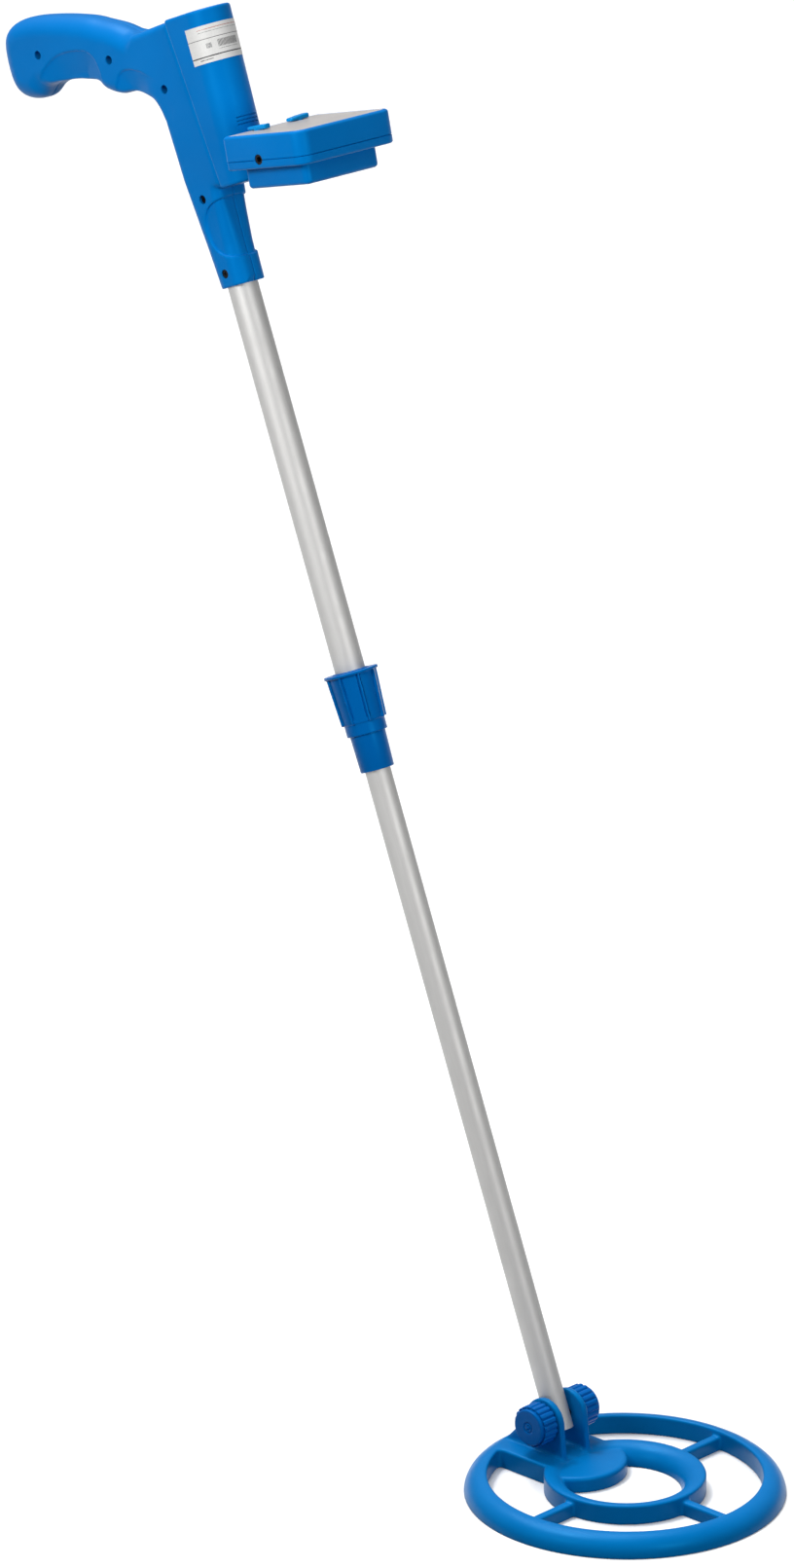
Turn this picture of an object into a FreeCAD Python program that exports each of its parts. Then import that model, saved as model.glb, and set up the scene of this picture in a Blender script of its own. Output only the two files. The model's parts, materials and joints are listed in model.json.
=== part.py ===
"""Metal detector with a telescopic stem, a tilting search coil and a control box.

Frame: millimetres, +Z up. The origin is the centre of the hand grip. +X runs
forward from the grip to the search coil and XZ is the mirror plane, so the
user's right side is -Y. The coil lies level and the stem leans back.
"""
import FreeCAD, Part
import math
import os
from FreeCAD import Placement, Rotation, Vector

# Stem: distances along it are measured upwards from the tilt axis of the coil
STEM_LEAN = 21.3            # degrees back from vertical
TILT_AXIS = Vector(398.6, 0, -799.0)
UPPER_TUBE_R = 9.5
UPPER_TUBE_WALL = 1.0
LOWER_TUBE_R = 8.0
LOWER_TUBE_WALL = 1.0
LOWER_TUBE_END = -9.0
LOWER_TUBE_TOP = 545.0
UPPER_TUBE_BOTTOM = 448.0
UPPER_TUBE_TOP = 832.0
RUNNING_GAP = 0.05

# Twist lock
COLLET_BOTTOM = 413.5
NUT_BOTTOM = 436.5
NUT_RIB_END = 444.0
NUT_TOP = 475.5
FLANGE_R = 17.0
FLANGE_THICKNESS = 1.7
NUT_CONE_TOP_R = 14.9
NUT_CONE_END_R = 13.2
NUT_BAND_R = 12.75
RIB_HEIGHT = 1.0
RIB_COUNT = 8
COLLET_R = 11.2
COLLET_TIP_R = 10.6

# Handle
NECK_BOTTOM = 720.5
POD_BOTTOM = 779.0
HOUSING_TOP = 885.0
HANDLE_HALF_WIDTH = 14.0
HANDLE_EDGE_R = 6.0
HANDLE_WALL = 2.4
SCREW_R = 1.5
SCREW_HEAD_R = 2.65
COUNTERBORE_R = 2.8
BOSS_R = 4.2
SCREW_HEAD_HEIGHT = 1.6
BODY_SCREW_SEAT = 6.5       # depth of the seat from the mirror plane
SCREW_END = 10.0
TUBE_RIB_HEIGHTS = (779.0, 802.0, 827.0)
TUBE_SCREWS = (729.0, 776.0)
BODY_SCREWS = ((-26.2, -9.0), (37.2, -2.0), (85.4, -12.5))
GRIP_OUTLINE = (
    (57.5, 17.9), (35.5, 19.8), (10.0, 19.4), (-18.4, 15.9), (-44.0, 9.6), (-58.5, 0.5), (-62.4, -12.0),
    (-54.8, -32.0), (-43.0, -38.3), (-27.0, -35.4), (-16.1, -25.6), (0.0, -20.8), (14.0, -18.3),
    (25.0, -17.2), (33.0, -20.6), (44.8, -22.4), (57.0, -19.0), (71.5, -20.3), (78.5, -25.0), (84.3, -33.0))

# Pod: the seam is its flat back, given as distance forward of the stem's axis
POD_HALF_WIDTH = 16.0
POD_WALL = 2.0
SEAM_TOP = 11.2
SEAM_BOTTOM = 20.5
NOSE_TOP = 32.2
NOSE_BOTTOM = 27.8
LABEL_TOP = 876.0
LABEL_HEIGHT = 22.5
LABEL_THICKNESS = 0.2
POD_SCREWS = (790.0, 868.0)
SOUND_SLOTS = (813.0, 815.2, 817.4)
SOUND_SLOT_HEIGHT = 0.7
BRIDGE_SCREW_HEIGHT = 797.0
BRIDGE_SCREW_SPREAD = 6.0
SPEAKER_HEIGHT = 826.0
SPEAKER_FRONT = 29.0
SMALL_SCREW_R = 1.25

# Control box: its own frame starts at the middle of the top front edge
BOX_ORIGIN = Vector(226.3, 0, -10.2)
BOX_TILT = 12.9
BOX_LENGTH = 67.0
BOX_HALF_WIDTH = 40.6
BOX_CORNER_R = 9.0
BOX_REAR_R = 3.0
BOX_EDGE_R = 2.0
BOX_WALL = 2.2
BOX_SEAM = -15.4
TRAY_BOTTOM = -20.7
BAY_BOTTOM = -33.5
BAY_REAR = -61.5
BAY_FRONT = -9.0
BAY_HALF_WIDTH = 31.0
BAY_CORNER_R = 4.5
BRIDGE_HALF_WIDTH = 11.0
BOX_SCREW_X = (-61.0, -6.5)
BOX_SCREW_Y = 35.5
BOX_SCREW_POST_R = 3.2
PANEL_INSET = 2.8
PANEL_THICKNESS = 0.5
KNOB_BACK = -58.5
KNOB_SPREAD = 16.5
KNOB_LENGTH = 16.5
KNOB_WIDTH = 6.0
KNOB_HEIGHT = 3.4
KNOB_LOW_END = 2.3
SOCKET_X = -38.2
SOCKET_Z = -15.0
SOCKET_BORE_R = 1.8
SOCKET_HOLE_R = 3.2
SHAFT_HOLE_R = 3.6
BOARD_TOP = -10.2
BOARD_THICKNESS = 1.6
DOOR_REAR = -52.0
DOOR_FRONT = -17.0
DOOR_THICKNESS = 2.0
BATTERY = (26.5, 46.0, 17.5)
BATTERY_MIDDLE = -34.5

# Search coil: its own frame has the coil's centre on the ground at its origin
COIL_CENTRE = TILT_AXIS + Vector(56.4, 0, -33.0)
COIL_OUTER_R = 98.6
OUTER_RING_IN = 84.4
INNER_RING_OUT = 49.7
INNER_RING_IN = 34.8
COIL_HEIGHT = 12.5
SPOKE_WIDTH = 6.0
SPOKE_HEIGHT = 9.0
PLATFORM_HALF = 27.0
PAD_CENTRE = -42.5
PAD_R = 33.0
PAD_HEIGHT = 9.8            # lower than the crest of the inner ring
COVER_THICKNESS = 1.5
COVER_INSET = 1.4
EAR_INSIDE = 8.6
EAR_THICKNESS = 4.0
EAR_R = 14.5
WASHER_THICKNESS = 1.0
BOLT_R = 3.0
CLAMP_R = 13.2
CLAMP_FLUTES = 20
CLAMP_FACE_R = 11.6
CLAMP_DEPTH = 10.6
CLAMP_FACE_DEPTH = 2.2
GLAND_X = -74.0
OUTER_WINDING = (93.0, 89.6)
INNER_WINDING = (45.4, 42.4)
WINDING_HEIGHT = 3.2
WINDING_ROOM = 2.3          # clear space beside a winding in its channel
CHANNEL_TOP = 6.5           # leaves a wall of at least 1.1 under the rings' crowns

X = Vector(1, 0, 0)
Y = Vector(0, 1, 0)
Z = Vector(0, 0, 1)


# ---------------------------------------------------------------- helpers
def cylinder(radius, length, base, axis=Z):
    return Part.makeCylinder(radius, length, base, axis)


def across(radius, x, z, y_from, y_to):
    """A cylinder along Y."""
    return Part.makeCylinder(radius, y_to - y_from, Vector(x, y_from, z), Y)


def tube(outer, inner, z_from, z_to):
    length = z_to - z_from
    solid = cylinder(outer, length, Vector(0, 0, z_from))
    return solid.cut(cylinder(inner, length + 2, Vector(0, 0, z_from - 1)))


def block(x_from, x_to, y_from, y_to, z_from, z_to):
    size = (x_to - x_from, y_to - y_from, z_to - z_from)
    return Part.makeBox(*size, Vector(x_from, y_from, z_from))


def rounded_wire(x_from, x_to, half_width, corner, z, rear_corner=None):
    """A rounded rectangle at height z; the two corners at its rear may have a radius of their own."""
    x_mid = (x_from + x_to) / 2
    half_length = (x_to - x_from) / 2
    edges = []
    for quarter in range(4):
        start = math.radians(90 * quarter)
        sign_x = 1 if quarter in (0, 3) else -1
        sign_y = 1 if quarter in (0, 1) else -1
        radius = rear_corner if rear_corner and sign_x < 0 else corner
        centre = Vector(x_mid + sign_x * (half_length - radius), sign_y * (half_width - radius), z)
        arc = [centre + radius * Vector(math.cos(start + a), math.sin(start + a), 0)
               for a in (0, math.pi / 4, math.pi / 2)]
        edges.append(Part.Arc(*arc).toShape())
    sides = []
    for quarter in range(4):
        begin = edges[quarter].Vertexes[-1].Point
        end = edges[(quarter + 1) % 4].Vertexes[0].Point
        sides.append(edges[quarter])
        sides.append(Part.makeLine(begin, end))
    return Part.Wire(sides)


def rounded_block(x_from, x_to, half_width, corner, z_from, z_to, rear_corner=None):
    wire = rounded_wire(x_from, x_to, half_width, corner, z_from, rear_corner)
    return Part.Face(wire).extrude(Vector(0, 0, z_to - z_from))


def profile_face(points):
    """A closed polygon in the XZ plane."""
    corners = [Vector(x, 0, z) for x, z in points]
    return Part.Face(Part.makePolygon(corners + corners[:1]))


def plate(points, y_from, y_to):
    """A polygon in XZ given thickness along Y."""
    face = profile_face(points)
    face.translate(Vector(0, y_from, 0))
    return face.extrude(Vector(0, y_to - y_from, 0))


def fuse(shapes):
    result = shapes[0].fuse(shapes[1:]) if len(shapes) > 1 else shapes[0]
    return result.removeSplitter()


def group(shapes):
    return Part.makeCompound(shapes)


def stem_placement():
    return Placement(TILT_AXIS, Rotation(Y, -STEM_LEAN))


def box_placement():
    return Placement(BOX_ORIGIN, Rotation(Y, -BOX_TILT))


def coil_placement():
    return Placement(COIL_CENTRE, Rotation())


def placed(shape, placement):
    moved = shape.copy()
    moved.transformShape(placement.toMatrix())
    return moved


def on_stem(forward, along):
    """The grip frame's X and Z of a point given in the stem's frame."""
    point = stem_placement().multVec(Vector(forward, 0, along))
    return point.x, point.z


def seam_at(along):
    """How far forward of the stem the seam lies at a height along the stem."""
    share = (along - POD_BOTTOM) / (HOUSING_TOP - POD_BOTTOM)
    return SEAM_BOTTOM + share * (SEAM_TOP - SEAM_BOTTOM)


def nose_at(along):
    share = (along - POD_BOTTOM) / (HOUSING_TOP - POD_BOTTOM)
    return NOSE_BOTTOM + share * (NOSE_TOP - NOSE_BOTTOM)


# ---------------------------------------------------------------- stem
def make_upper_tube():
    pipe = tube(UPPER_TUBE_R, UPPER_TUBE_R - UPPER_TUBE_WALL, UPPER_TUBE_BOTTOM, UPPER_TUBE_TOP)
    holes = [across(SCREW_R + 0.1, 0, along, -20, 20) for along in TUBE_SCREWS]
    return pipe.cut(holes)


def make_lower_tube():
    pipe = tube(LOWER_TUBE_R, LOWER_TUBE_R - LOWER_TUBE_WALL, LOWER_TUBE_END, LOWER_TUBE_TOP)
    return pipe.cut(across(BOLT_R + 0.1, 0, 0, -20, 20))


def make_bushing():
    inside_upper = UPPER_TUBE_R - UPPER_TUBE_WALL - RUNNING_GAP
    sleeve = tube(inside_upper, LOWER_TUBE_R, LOWER_TUBE_TOP - 22, LOWER_TUBE_TOP)
    lip = tube(inside_upper, LOWER_TUBE_R - 1.6, LOWER_TUBE_TOP, LOWER_TUBE_TOP + 1.5)
    return fuse([sleeve, lip])


def make_tube_insert():
    """A plastic spacer that stops the clamp from crushing the tube's end."""
    inside = LOWER_TUBE_R - LOWER_TUBE_WALL
    solid = tube(inside, 2.2, LOWER_TUBE_END + 1.5, 14)
    return solid.cut(across(BOLT_R + 0.1, 0, 0, -20, 20))


def make_collet():
    tip_length = NUT_BOTTOM - COLLET_BOTTOM
    tip = Part.makeCone(COLLET_TIP_R, COLLET_R - 0.05, tip_length, Vector(0, 0, COLLET_BOTTOM))
    barrel = cylinder(COLLET_R, NUT_TOP + 0.6 - NUT_BOTTOM, Vector(0, 0, NUT_BOTTOM))
    body = fuse([tip, barrel])
    lower_bore = cylinder(LOWER_TUBE_R + RUNNING_GAP, 60, Vector(0, 0, COLLET_BOTTOM - 1))
    upper_bore = cylinder(UPPER_TUBE_R, 60, Vector(0, 0, UPPER_TUBE_BOTTOM))
    slit = block(-COLLET_R, COLLET_R, -0.5, 0.5, COLLET_BOTTOM + 6, UPPER_TUBE_BOTTOM - 3)
    return body.cut([lower_bore, upper_bore, slit])


def make_lock_nut():
    flange = cylinder(FLANGE_R, FLANGE_THICKNESS, Vector(0, 0, NUT_TOP - FLANGE_THICKNESS))
    rib_top = NUT_TOP - FLANGE_THICKNESS
    cone = Part.makeCone(NUT_CONE_END_R, NUT_CONE_TOP_R, rib_top - NUT_RIB_END, Vector(0, 0, NUT_RIB_END))
    band = cylinder(NUT_BAND_R, NUT_RIB_END - NUT_BOTTOM, Vector(0, 0, NUT_BOTTOM))
    body = fuse([flange, cone, band])
    rib_points = [(NUT_CONE_END_R - 2, NUT_RIB_END), (NUT_CONE_END_R + RIB_HEIGHT, NUT_RIB_END),
                  (NUT_CONE_TOP_R + RIB_HEIGHT, rib_top), (NUT_CONE_TOP_R - 2, rib_top)]
    ribs = []
    for index in range(RIB_COUNT):
        rib = plate(rib_points, -0.6, 0.6)
        rib.rotate(Vector(0, 0, 0), Z, 360 / RIB_COUNT * index - 28.5)
        ribs.append(rib)
    body = fuse([body] + ribs)
    return body.cut(cylinder(COLLET_R + 0.08, 60, Vector(0, 0, NUT_BOTTOM - 1)))


# ---------------------------------------------------------------- handle
def grip_curve():
    """The outline from the housing's top, round the heel and under the grip to the housing's back."""
    curve = Part.BSplineCurve()
    curve.interpolate([Vector(x, 0, z) for x, z in GRIP_OUTLINE])
    return curve


def handle_outline():
    """The side view of the handle above the neck, as one closed wire in XZ."""
    corners = [GRIP_OUTLINE[-1], on_stem(-13.0, POD_BOTTOM), on_stem(SEAM_BOTTOM, POD_BOTTOM),
               on_stem(SEAM_TOP, HOUSING_TOP), GRIP_OUTLINE[0]]
    points = [Vector(x, 0, z) for x, z in corners]
    lines = [Part.makeLine(a, b) for a, b in zip(points, points[1:])]
    return Part.Wire([grip_curve().toShape()] + lines)


def handle_solid():
    """Both halves as one outer body: the rounded grip and housing with the neck below."""
    face = Part.Face(handle_outline())
    face.translate(Vector(0, -HANDLE_HALF_WIDTH, 0))
    body = face.extrude(Vector(0, 2 * HANDLE_HALF_WIDTH, 0))
    seam_middle = stem_placement().multVec(Vector(seam_at(832), 0, 832))
    below = stem_placement().multVec(Vector(4, 0, POD_BOTTOM))
    edges = []
    for edge in body.Edges:
        y = edge.BoundBox.Center.y
        middle = edge.valueAt((edge.FirstParameter + edge.LastParameter) / 2)
        middle.y = 0
        side_edge = abs(abs(y) - HANDLE_HALF_WIDTH) < 0.01
        hidden = min(middle.distanceToPoint(seam_middle), middle.distanceToPoint(below)) < 4
        if side_edge and not hidden:
            edges.append(edge)
    body = body.makeFillet(HANDLE_EDGE_R, edges)
    sections = [rounded_wire(-11.0, 13.0, 12.0, 11.6, NECK_BOTTOM),
                rounded_wire(-11.6, 13.2, 12.4, 10.5, 745.0),
                rounded_wire(-13.0, 15.0, 13.6, 7.0, POD_BOTTOM + 3)]
    neck = placed(Part.makeLoft(sections, True), stem_placement())
    return fuse([body, neck])


def handle_cavity():
    """The hollow of the grip and housing, with the screw bosses and tube ribs left standing."""
    curve = grip_curve()
    inner = []
    for x, z in GRIP_OUTLINE[1:-1]:
        tangent = curve.tangent(curve.parameter(Vector(x, 0, z)))[0]
        inner.append((x - HANDLE_WALL * tangent.z, z + HANDLE_WALL * tangent.x))
    inner += [on_stem(HANDLE_WALL - 14.0, 826.0), on_stem(HANDLE_WALL - 13.0, POD_BOTTOM + HANDLE_WALL),
              on_stem(SEAM_BOTTOM - HANDLE_WALL, POD_BOTTOM + HANDLE_WALL),
              on_stem(SEAM_TOP - HANDLE_WALL, HOUSING_TOP - HANDLE_WALL),
              on_stem(-20.0, HOUSING_TOP - HANDLE_WALL)]
    depth = HANDLE_HALF_WIDTH - HANDLE_WALL
    hollow = plate(inner, -depth, depth)
    keep = [across(BOSS_R, x, z, -20, 20) for x, z in BODY_SCREWS]
    for along in TUBE_RIB_HEIGHTS:
        keep.append(placed(block(-20, 25, -20, 20, along - 2, along + 2), stem_placement()))
    keep.append(placed(across(BOSS_R, 0, TUBE_SCREWS[1], -20, 20), stem_placement()))
    return hollow.cut(keep)


def screw_sites():
    """Each handle screw as x, z, and the depth of its head's seat below the outside."""
    sites = [(x, z, -BODY_SCREW_SEAT) for x, z in BODY_SCREWS]
    for along in TUBE_SCREWS:
        x, z = on_stem(0, along)
        sites.append((x, z, -UPPER_TUBE_R - 0.4))
    return sites


def make_handle_halves():
    body = handle_solid().cut(handle_cavity())
    bore = cylinder(UPPER_TUBE_R, UPPER_TUBE_TOP + 0.5 - 700, Vector(0, 0, 700))
    body = body.cut(placed(bore, stem_placement()))
    space = 400
    right = body.common(block(-space, space, -space, 0, -space, space))
    left = body.common(block(-space, space, 0, space, -space, space))
    for x, z, seat in screw_sites():
        right = right.cut([across(SCREW_R + 0.1, x, z, -30, 1), across(COUNTERBORE_R, x, z, -30, seat)])
        left = left.cut(across(SCREW_R, x, z, -1, SCREW_END + 0.5))
    return right, left


def make_handle_screws():
    screws = []
    for x, z, seat in screw_sites():
        shank = across(SCREW_R, x, z, seat, SCREW_END)
        head = across(SCREW_HEAD_R, x, z, seat - SCREW_HEAD_HEIGHT, seat)
        cross = block(x - 1.4, x + 1.4, seat - 2, seat - 0.9, z - 0.35, z + 0.35)
        other = block(x - 0.35, x + 0.35, seat - 2, seat - 0.9, z - 1.4, z + 1.4)
        screws.append(fuse([shank, head]).cut([cross, other]))
    return group(screws)


# ---------------------------------------------------------------- pod
def pod_section(along, inset=0.0):
    """A D-shaped wire across the pod: a flat back at the seam and a round nose."""
    back = seam_at(along)
    nose = nose_at(along)
    radius = POD_HALF_WIDTH - inset
    corners = [Vector(nose, radius, along), Vector(back, radius, along),
               Vector(back, -radius, along), Vector(nose, -radius, along)]
    sides = [Part.makeLine(a, b) for a, b in zip(corners, corners[1:])]
    arc = Part.Arc(corners[3], Vector(nose + radius, 0, along), corners[0]).toShape()
    return Part.Wire(sides + [arc])


def pod_solid(inset=0.0):
    bottom = POD_BOTTOM + inset
    top = HOUSING_TOP + 1 - inset
    return Part.makeLoft([pod_section(bottom, inset), pod_section(top, inset)], True, True)


def make_pod_shell():
    outer = pod_solid()
    back = seam_at(832)
    edges = [edge for edge in outer.Edges
             if not (edge.BoundBox.YLength > 25 and edge.BoundBox.Center.x < back + 6)]
    outer = outer.makeFillet(1.8, edges)
    body = outer.cut(pod_solid(POD_WALL))
    bosses = []
    for along in POD_SCREWS:
        reach = nose_at(along) + POD_HALF_WIDTH - 1 - seam_at(along)
        bosses.append(cylinder(3.4, reach, Vector(seam_at(along), 0, along), X))
    body = fuse([body] + bosses)
    for along in POD_SCREWS:
        body = body.cut(cylinder(SMALL_SCREW_R, 12, Vector(seam_at(along) - 1, 0, along), X))
    for along in SOUND_SLOTS:
        body = body.cut(block(30, 60, -8, 8, along - SOUND_SLOT_HEIGHT / 2, along + SOUND_SLOT_HEIGHT / 2))
    for side in (-1, 1):
        base = Vector(36, side * BRIDGE_SCREW_SPREAD, BRIDGE_SCREW_HEIGHT)
        body = body.cut(cylinder(SMALL_SCREW_R, 10, base, X))
    return body


def make_pod_screws():
    screws = []
    for along in POD_SCREWS:
        back = seam_at(along)
        shank = cylinder(SMALL_SCREW_R, 12, Vector(back - 2.5, 0, along), X)
        head = cylinder(2.4, 1.6, Vector(back - 4.1, 0, along), X)
        screws.append(fuse([shank, head]))
    return screws


def make_label():
    """A thin sticker wrapped round the nose of the pod."""
    skin = pod_solid(-LABEL_THICKNESS).cut(pod_solid())
    bottom = LABEL_TOP - LABEL_HEIGHT
    window = block(nose_at(LABEL_TOP) - 4, 80, -30, 30, bottom, LABEL_TOP)
    return skin.common(window)


def make_speaker():
    front = SPEAKER_FRONT
    rim = cylinder(13.4, 1.6, Vector(front - 1.6, 0, SPEAKER_HEIGHT), X)
    basket = Part.makeCone(8.0, 12.4, 2.4, Vector(front - 4.0, 0, SPEAKER_HEIGHT), X)
    magnet = cylinder(6.5, 3.0, Vector(front - 7.0, 0, SPEAKER_HEIGHT), X)
    dish = Part.makeCone(3.0, 11.0, 1.4, Vector(front - 1.35, 0, SPEAKER_HEIGHT), X)
    return fuse([rim, basket, magnet]).cut(dish)


# ---------------------------------------------------------------- control box
def box_outline(inset, z_from, z_to):
    """The control box's outline pulled in all round by the inset, as a block."""
    corner = BOX_CORNER_R - inset
    rear_corner = max(BOX_REAR_R - inset, 0.5)
    half_width = BOX_HALF_WIDTH - inset
    return rounded_block(-BOX_LENGTH + inset, -inset, half_width, corner, z_from, z_to, rear_corner)


def box_screw_places():
    return [(x, y) for x in BOX_SCREW_X for y in (-BOX_SCREW_Y, BOX_SCREW_Y)]


def socket_hole(radius):
    return across(radius, SOCKET_X, SOCKET_Z, -BOX_HALF_WIDTH - 1, -BOX_HALF_WIDTH + BOX_WALL + 1)


def make_control_cover():
    outer = box_outline(0, BOX_SEAM, 0)
    top_edges = [edge for edge in outer.Edges if edge.BoundBox.ZMin > -0.01]
    outer = outer.makeFillet(BOX_EDGE_R, top_edges)
    body = outer.cut(box_outline(BOX_WALL, BOX_SEAM - 1, -BOX_WALL - 0.6))
    recess = box_outline(PANEL_INSET, -PANEL_THICKNESS, 1)
    shafts = [cylinder(SHAFT_HOLE_R, 10, Vector(KNOB_BACK, side * KNOB_SPREAD, -5)) for side in (-1, 1)]
    posts = []
    for x, y in box_screw_places():
        post = cylinder(BOX_SCREW_POST_R, -BOX_SEAM - 1.5, Vector(x, y, BOX_SEAM))
        posts.append(post.common(outer))
    body = fuse([body] + posts)
    pilots = [cylinder(SMALL_SCREW_R, 10, Vector(x, y, BOX_SEAM - 1)) for x, y in box_screw_places()]
    return body.cut([recess, socket_hole(SOCKET_HOLE_R)] + shafts + pilots)


def make_panel():
    face = box_outline(PANEL_INSET + 0.1, -PANEL_THICKNESS, 0)
    holes = [cylinder(SHAFT_HOLE_R, 4, Vector(KNOB_BACK, side * KNOB_SPREAD, -2)) for side in (-1, 1)]
    return face.cut(holes)


def door_prism(gap):
    """The sliding battery door, or with a gap the track that it runs in."""
    floor = block(DOOR_REAR - gap, DOOR_FRONT + gap, -26 - gap, BAY_HALF_WIDTH + gap, BAY_BOTTOM - gap,
                  BAY_BOTTOM + DOOR_THICKNESS + gap)
    tongue = block(DOOR_REAR - 1.2 - gap, DOOR_FRONT + 1.2 + gap, -26 - gap, BAY_HALF_WIDTH + gap,
                   BAY_BOTTOM + 0.8 - gap, BAY_BOTTOM + DOOR_THICKNESS + gap)
    return fuse([floor, tongue])


def battery_bay():
    """The outside of the battery compartment under the tray."""
    top = TRAY_BOTTOM + 1
    bay = rounded_block(BAY_REAR, BAY_FRONT, BAY_HALF_WIDTH, BAY_CORNER_R, BAY_BOTTOM, top, BOX_REAR_R)
    bottom_edges = [edge for edge in bay.Edges if edge.BoundBox.ZMax < BAY_BOTTOM + 0.01]
    return bay.makeFillet(2.5, bottom_edges)


def make_control_tray():
    lip = box_outline(0, TRAY_BOTTOM, BOX_SEAM)
    bottom_edges = [edge for edge in lip.Edges if edge.BoundBox.ZMax < TRAY_BOTTOM + 0.01]
    lip = lip.makeFillet(1.5, bottom_edges)
    outside_pod = placed(placed(pod_solid(), stem_placement()), box_placement().inverse())
    bridge = block(-92, -BOX_LENGTH + 3, -BRIDGE_HALF_WIDTH, BRIDGE_HALF_WIDTH, TRAY_BOTTOM, -5)
    bridge = bridge.cut(outside_pod)
    bridge = max(bridge.Solids, key=lambda solid: solid.CenterOfMass.x)
    upper_gap = block(-BOX_LENGTH, -BOX_LENGTH + 4, -20, 20, BOX_SEAM, 5)
    body = fuse([lip, battery_bay(), bridge.cut(upper_gap)])
    tray_hollow = box_outline(BOX_WALL, TRAY_BOTTOM + BOX_WALL, BOX_SEAM + 1)
    cell_hollow = block(BATTERY_MIDDLE - 14.5, BATTERY_MIDDLE + 14.5, -27.0, 24.5,
                        BAY_BOTTOM + DOOR_THICKNESS, BOX_SEAM + 1)
    body = body.cut([tray_hollow, cell_hollow, door_prism(0.15), socket_hole(SOCKET_HOLE_R)])
    bosses = []
    for x, y in box_screw_places():
        boss = cylinder(BOX_SCREW_POST_R, BOX_SEAM - TRAY_BOTTOM, Vector(x, y, TRAY_BOTTOM))
        bosses.append(boss.common(box_outline(0.5, TRAY_BOTTOM, BOX_SEAM)))
    body = fuse([body] + bosses)
    for x, y in box_screw_places():
        body = body.cut([cylinder(1.35, 10, Vector(x, y, TRAY_BOTTOM - 1)),
                         cylinder(2.5, 2.6, Vector(x, y, TRAY_BOTTOM - 1))])
    for hole in bridge_screw_cylinders(SMALL_SCREW_R, 12, 0):
        body = body.cut(hole)
    return body


def bridge_screw_cylinders(radius, length, start):
    """Cylinders on the two screws that hold the control box to the pod, in the box's frame."""
    cylinders = []
    for side in (-1, 1):
        base = Vector(39 + start, side * BRIDGE_SCREW_SPREAD, BRIDGE_SCREW_HEIGHT)
        hole = cylinder(radius, length, base, X)
        cylinders.append(placed(placed(hole, stem_placement()), box_placement().inverse()))
    return cylinders


def make_bridge_screws():
    shanks = bridge_screw_cylinders(SMALL_SCREW_R, 9.5, 1.0)
    heads = bridge_screw_cylinders(2.3, 1.5, -0.5)
    return [fuse([shank, head]) for shank, head in zip(shanks, heads)]


def make_box_screws():
    screws = []
    for x, y in box_screw_places():
        shank = cylinder(SMALL_SCREW_R, 9, Vector(x, y, TRAY_BOTTOM + 1.6))
        head = cylinder(2.3, 1.4, Vector(x, y, TRAY_BOTTOM + 0.2))
        screws.append(fuse([shank, head]))
    return group(screws)


def make_circuit_board():
    board = block(-60, -4, -35, 35, BOARD_TOP - BOARD_THICKNESS, BOARD_TOP)
    corners = [cylinder(4.2, 4, Vector(x, y, -13)) for x, y in box_screw_places()]
    chips = [block(-30, -20, -5, 5, BOARD_TOP, BOARD_TOP + 1.6),
             block(-18, -12, 12, 20, BOARD_TOP, BOARD_TOP + 1.2)]
    cans = [cylinder(2.5, 5.5, Vector(x, y, BOARD_TOP)) for x, y in ((-12, -14), (-12, -22), (-20, 26))]
    return fuse([board.cut(corners)] + chips + cans)


def make_pot(side):
    """A rotary control under the panel: its can, with a bore for the spindle."""
    y = side * KNOB_SPREAD
    can = cylinder(7.0, 5.4, Vector(KNOB_BACK + 2, y, BOARD_TOP))
    neck = cylinder(3.5, 1.8, Vector(KNOB_BACK, y, -4.8))
    return fuse([can, neck]).cut(cylinder(2.05, 9, Vector(KNOB_BACK, y, -9.2)))


def make_knob(side, turn):
    """A bar knob that is low at one end and tall at the other, with its spindle."""
    half = KNOB_LENGTH / 2
    points = [(-half, 0.5), (half, 0.5), (half, KNOB_HEIGHT), (0, KNOB_HEIGHT - 0.3), (-half, KNOB_LOW_END)]
    bar = plate(points, -KNOB_WIDTH / 2, KNOB_WIDTH / 2)
    uprights = [edge for edge in bar.Edges if edge.BoundBox.XLength < 0.01 and edge.BoundBox.YLength < 0.01]
    bar = bar.makeFillet(2.2, uprights)
    spindle = cylinder(2.0, 9.0, Vector(0, 0, -8.2))
    skirt = cylinder(3.1, 1.0, Vector(0, 0, -0.3))
    knob = fuse([bar, spindle, skirt])
    knob.rotate(Vector(0, 0, 0), Z, turn)
    knob.translate(Vector(KNOB_BACK, side * KNOB_SPREAD, 0))
    return knob


def make_socket():
    front = -BOX_HALF_WIDTH + 0.6
    body = block(SOCKET_X - 4, SOCKET_X + 4, -BOX_HALF_WIDTH + BOX_WALL + 0.2, -27.0, -18.2, -12.0)
    barrel = across(3.1, SOCKET_X, SOCKET_Z, front, -BOX_HALF_WIDTH + BOX_WALL + 0.4)
    bore = across(SOCKET_BORE_R, SOCKET_X, SOCKET_Z, front - 1, front + 12)
    return fuse([body, barrel]).cut(bore)


def make_battery():
    length, width, height = BATTERY
    floor = BAY_BOTTOM + DOOR_THICKNESS + 0.2
    can = block(BATTERY_MIDDLE - length / 2, BATTERY_MIDDLE + length / 2, -width / 2 + 1, width / 2 + 1,
                floor, floor + height)
    along = [edge for edge in can.Edges if edge.BoundBox.YLength > 20]
    can = can.makeFillet(1.5, along)
    studs = [across(3.0, BATTERY_MIDDLE + offset, floor + height / 2, -width / 2 - 1, -width / 2 + 1)
             for offset in (-6.4, 6.4)]
    return fuse([can] + studs)


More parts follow.
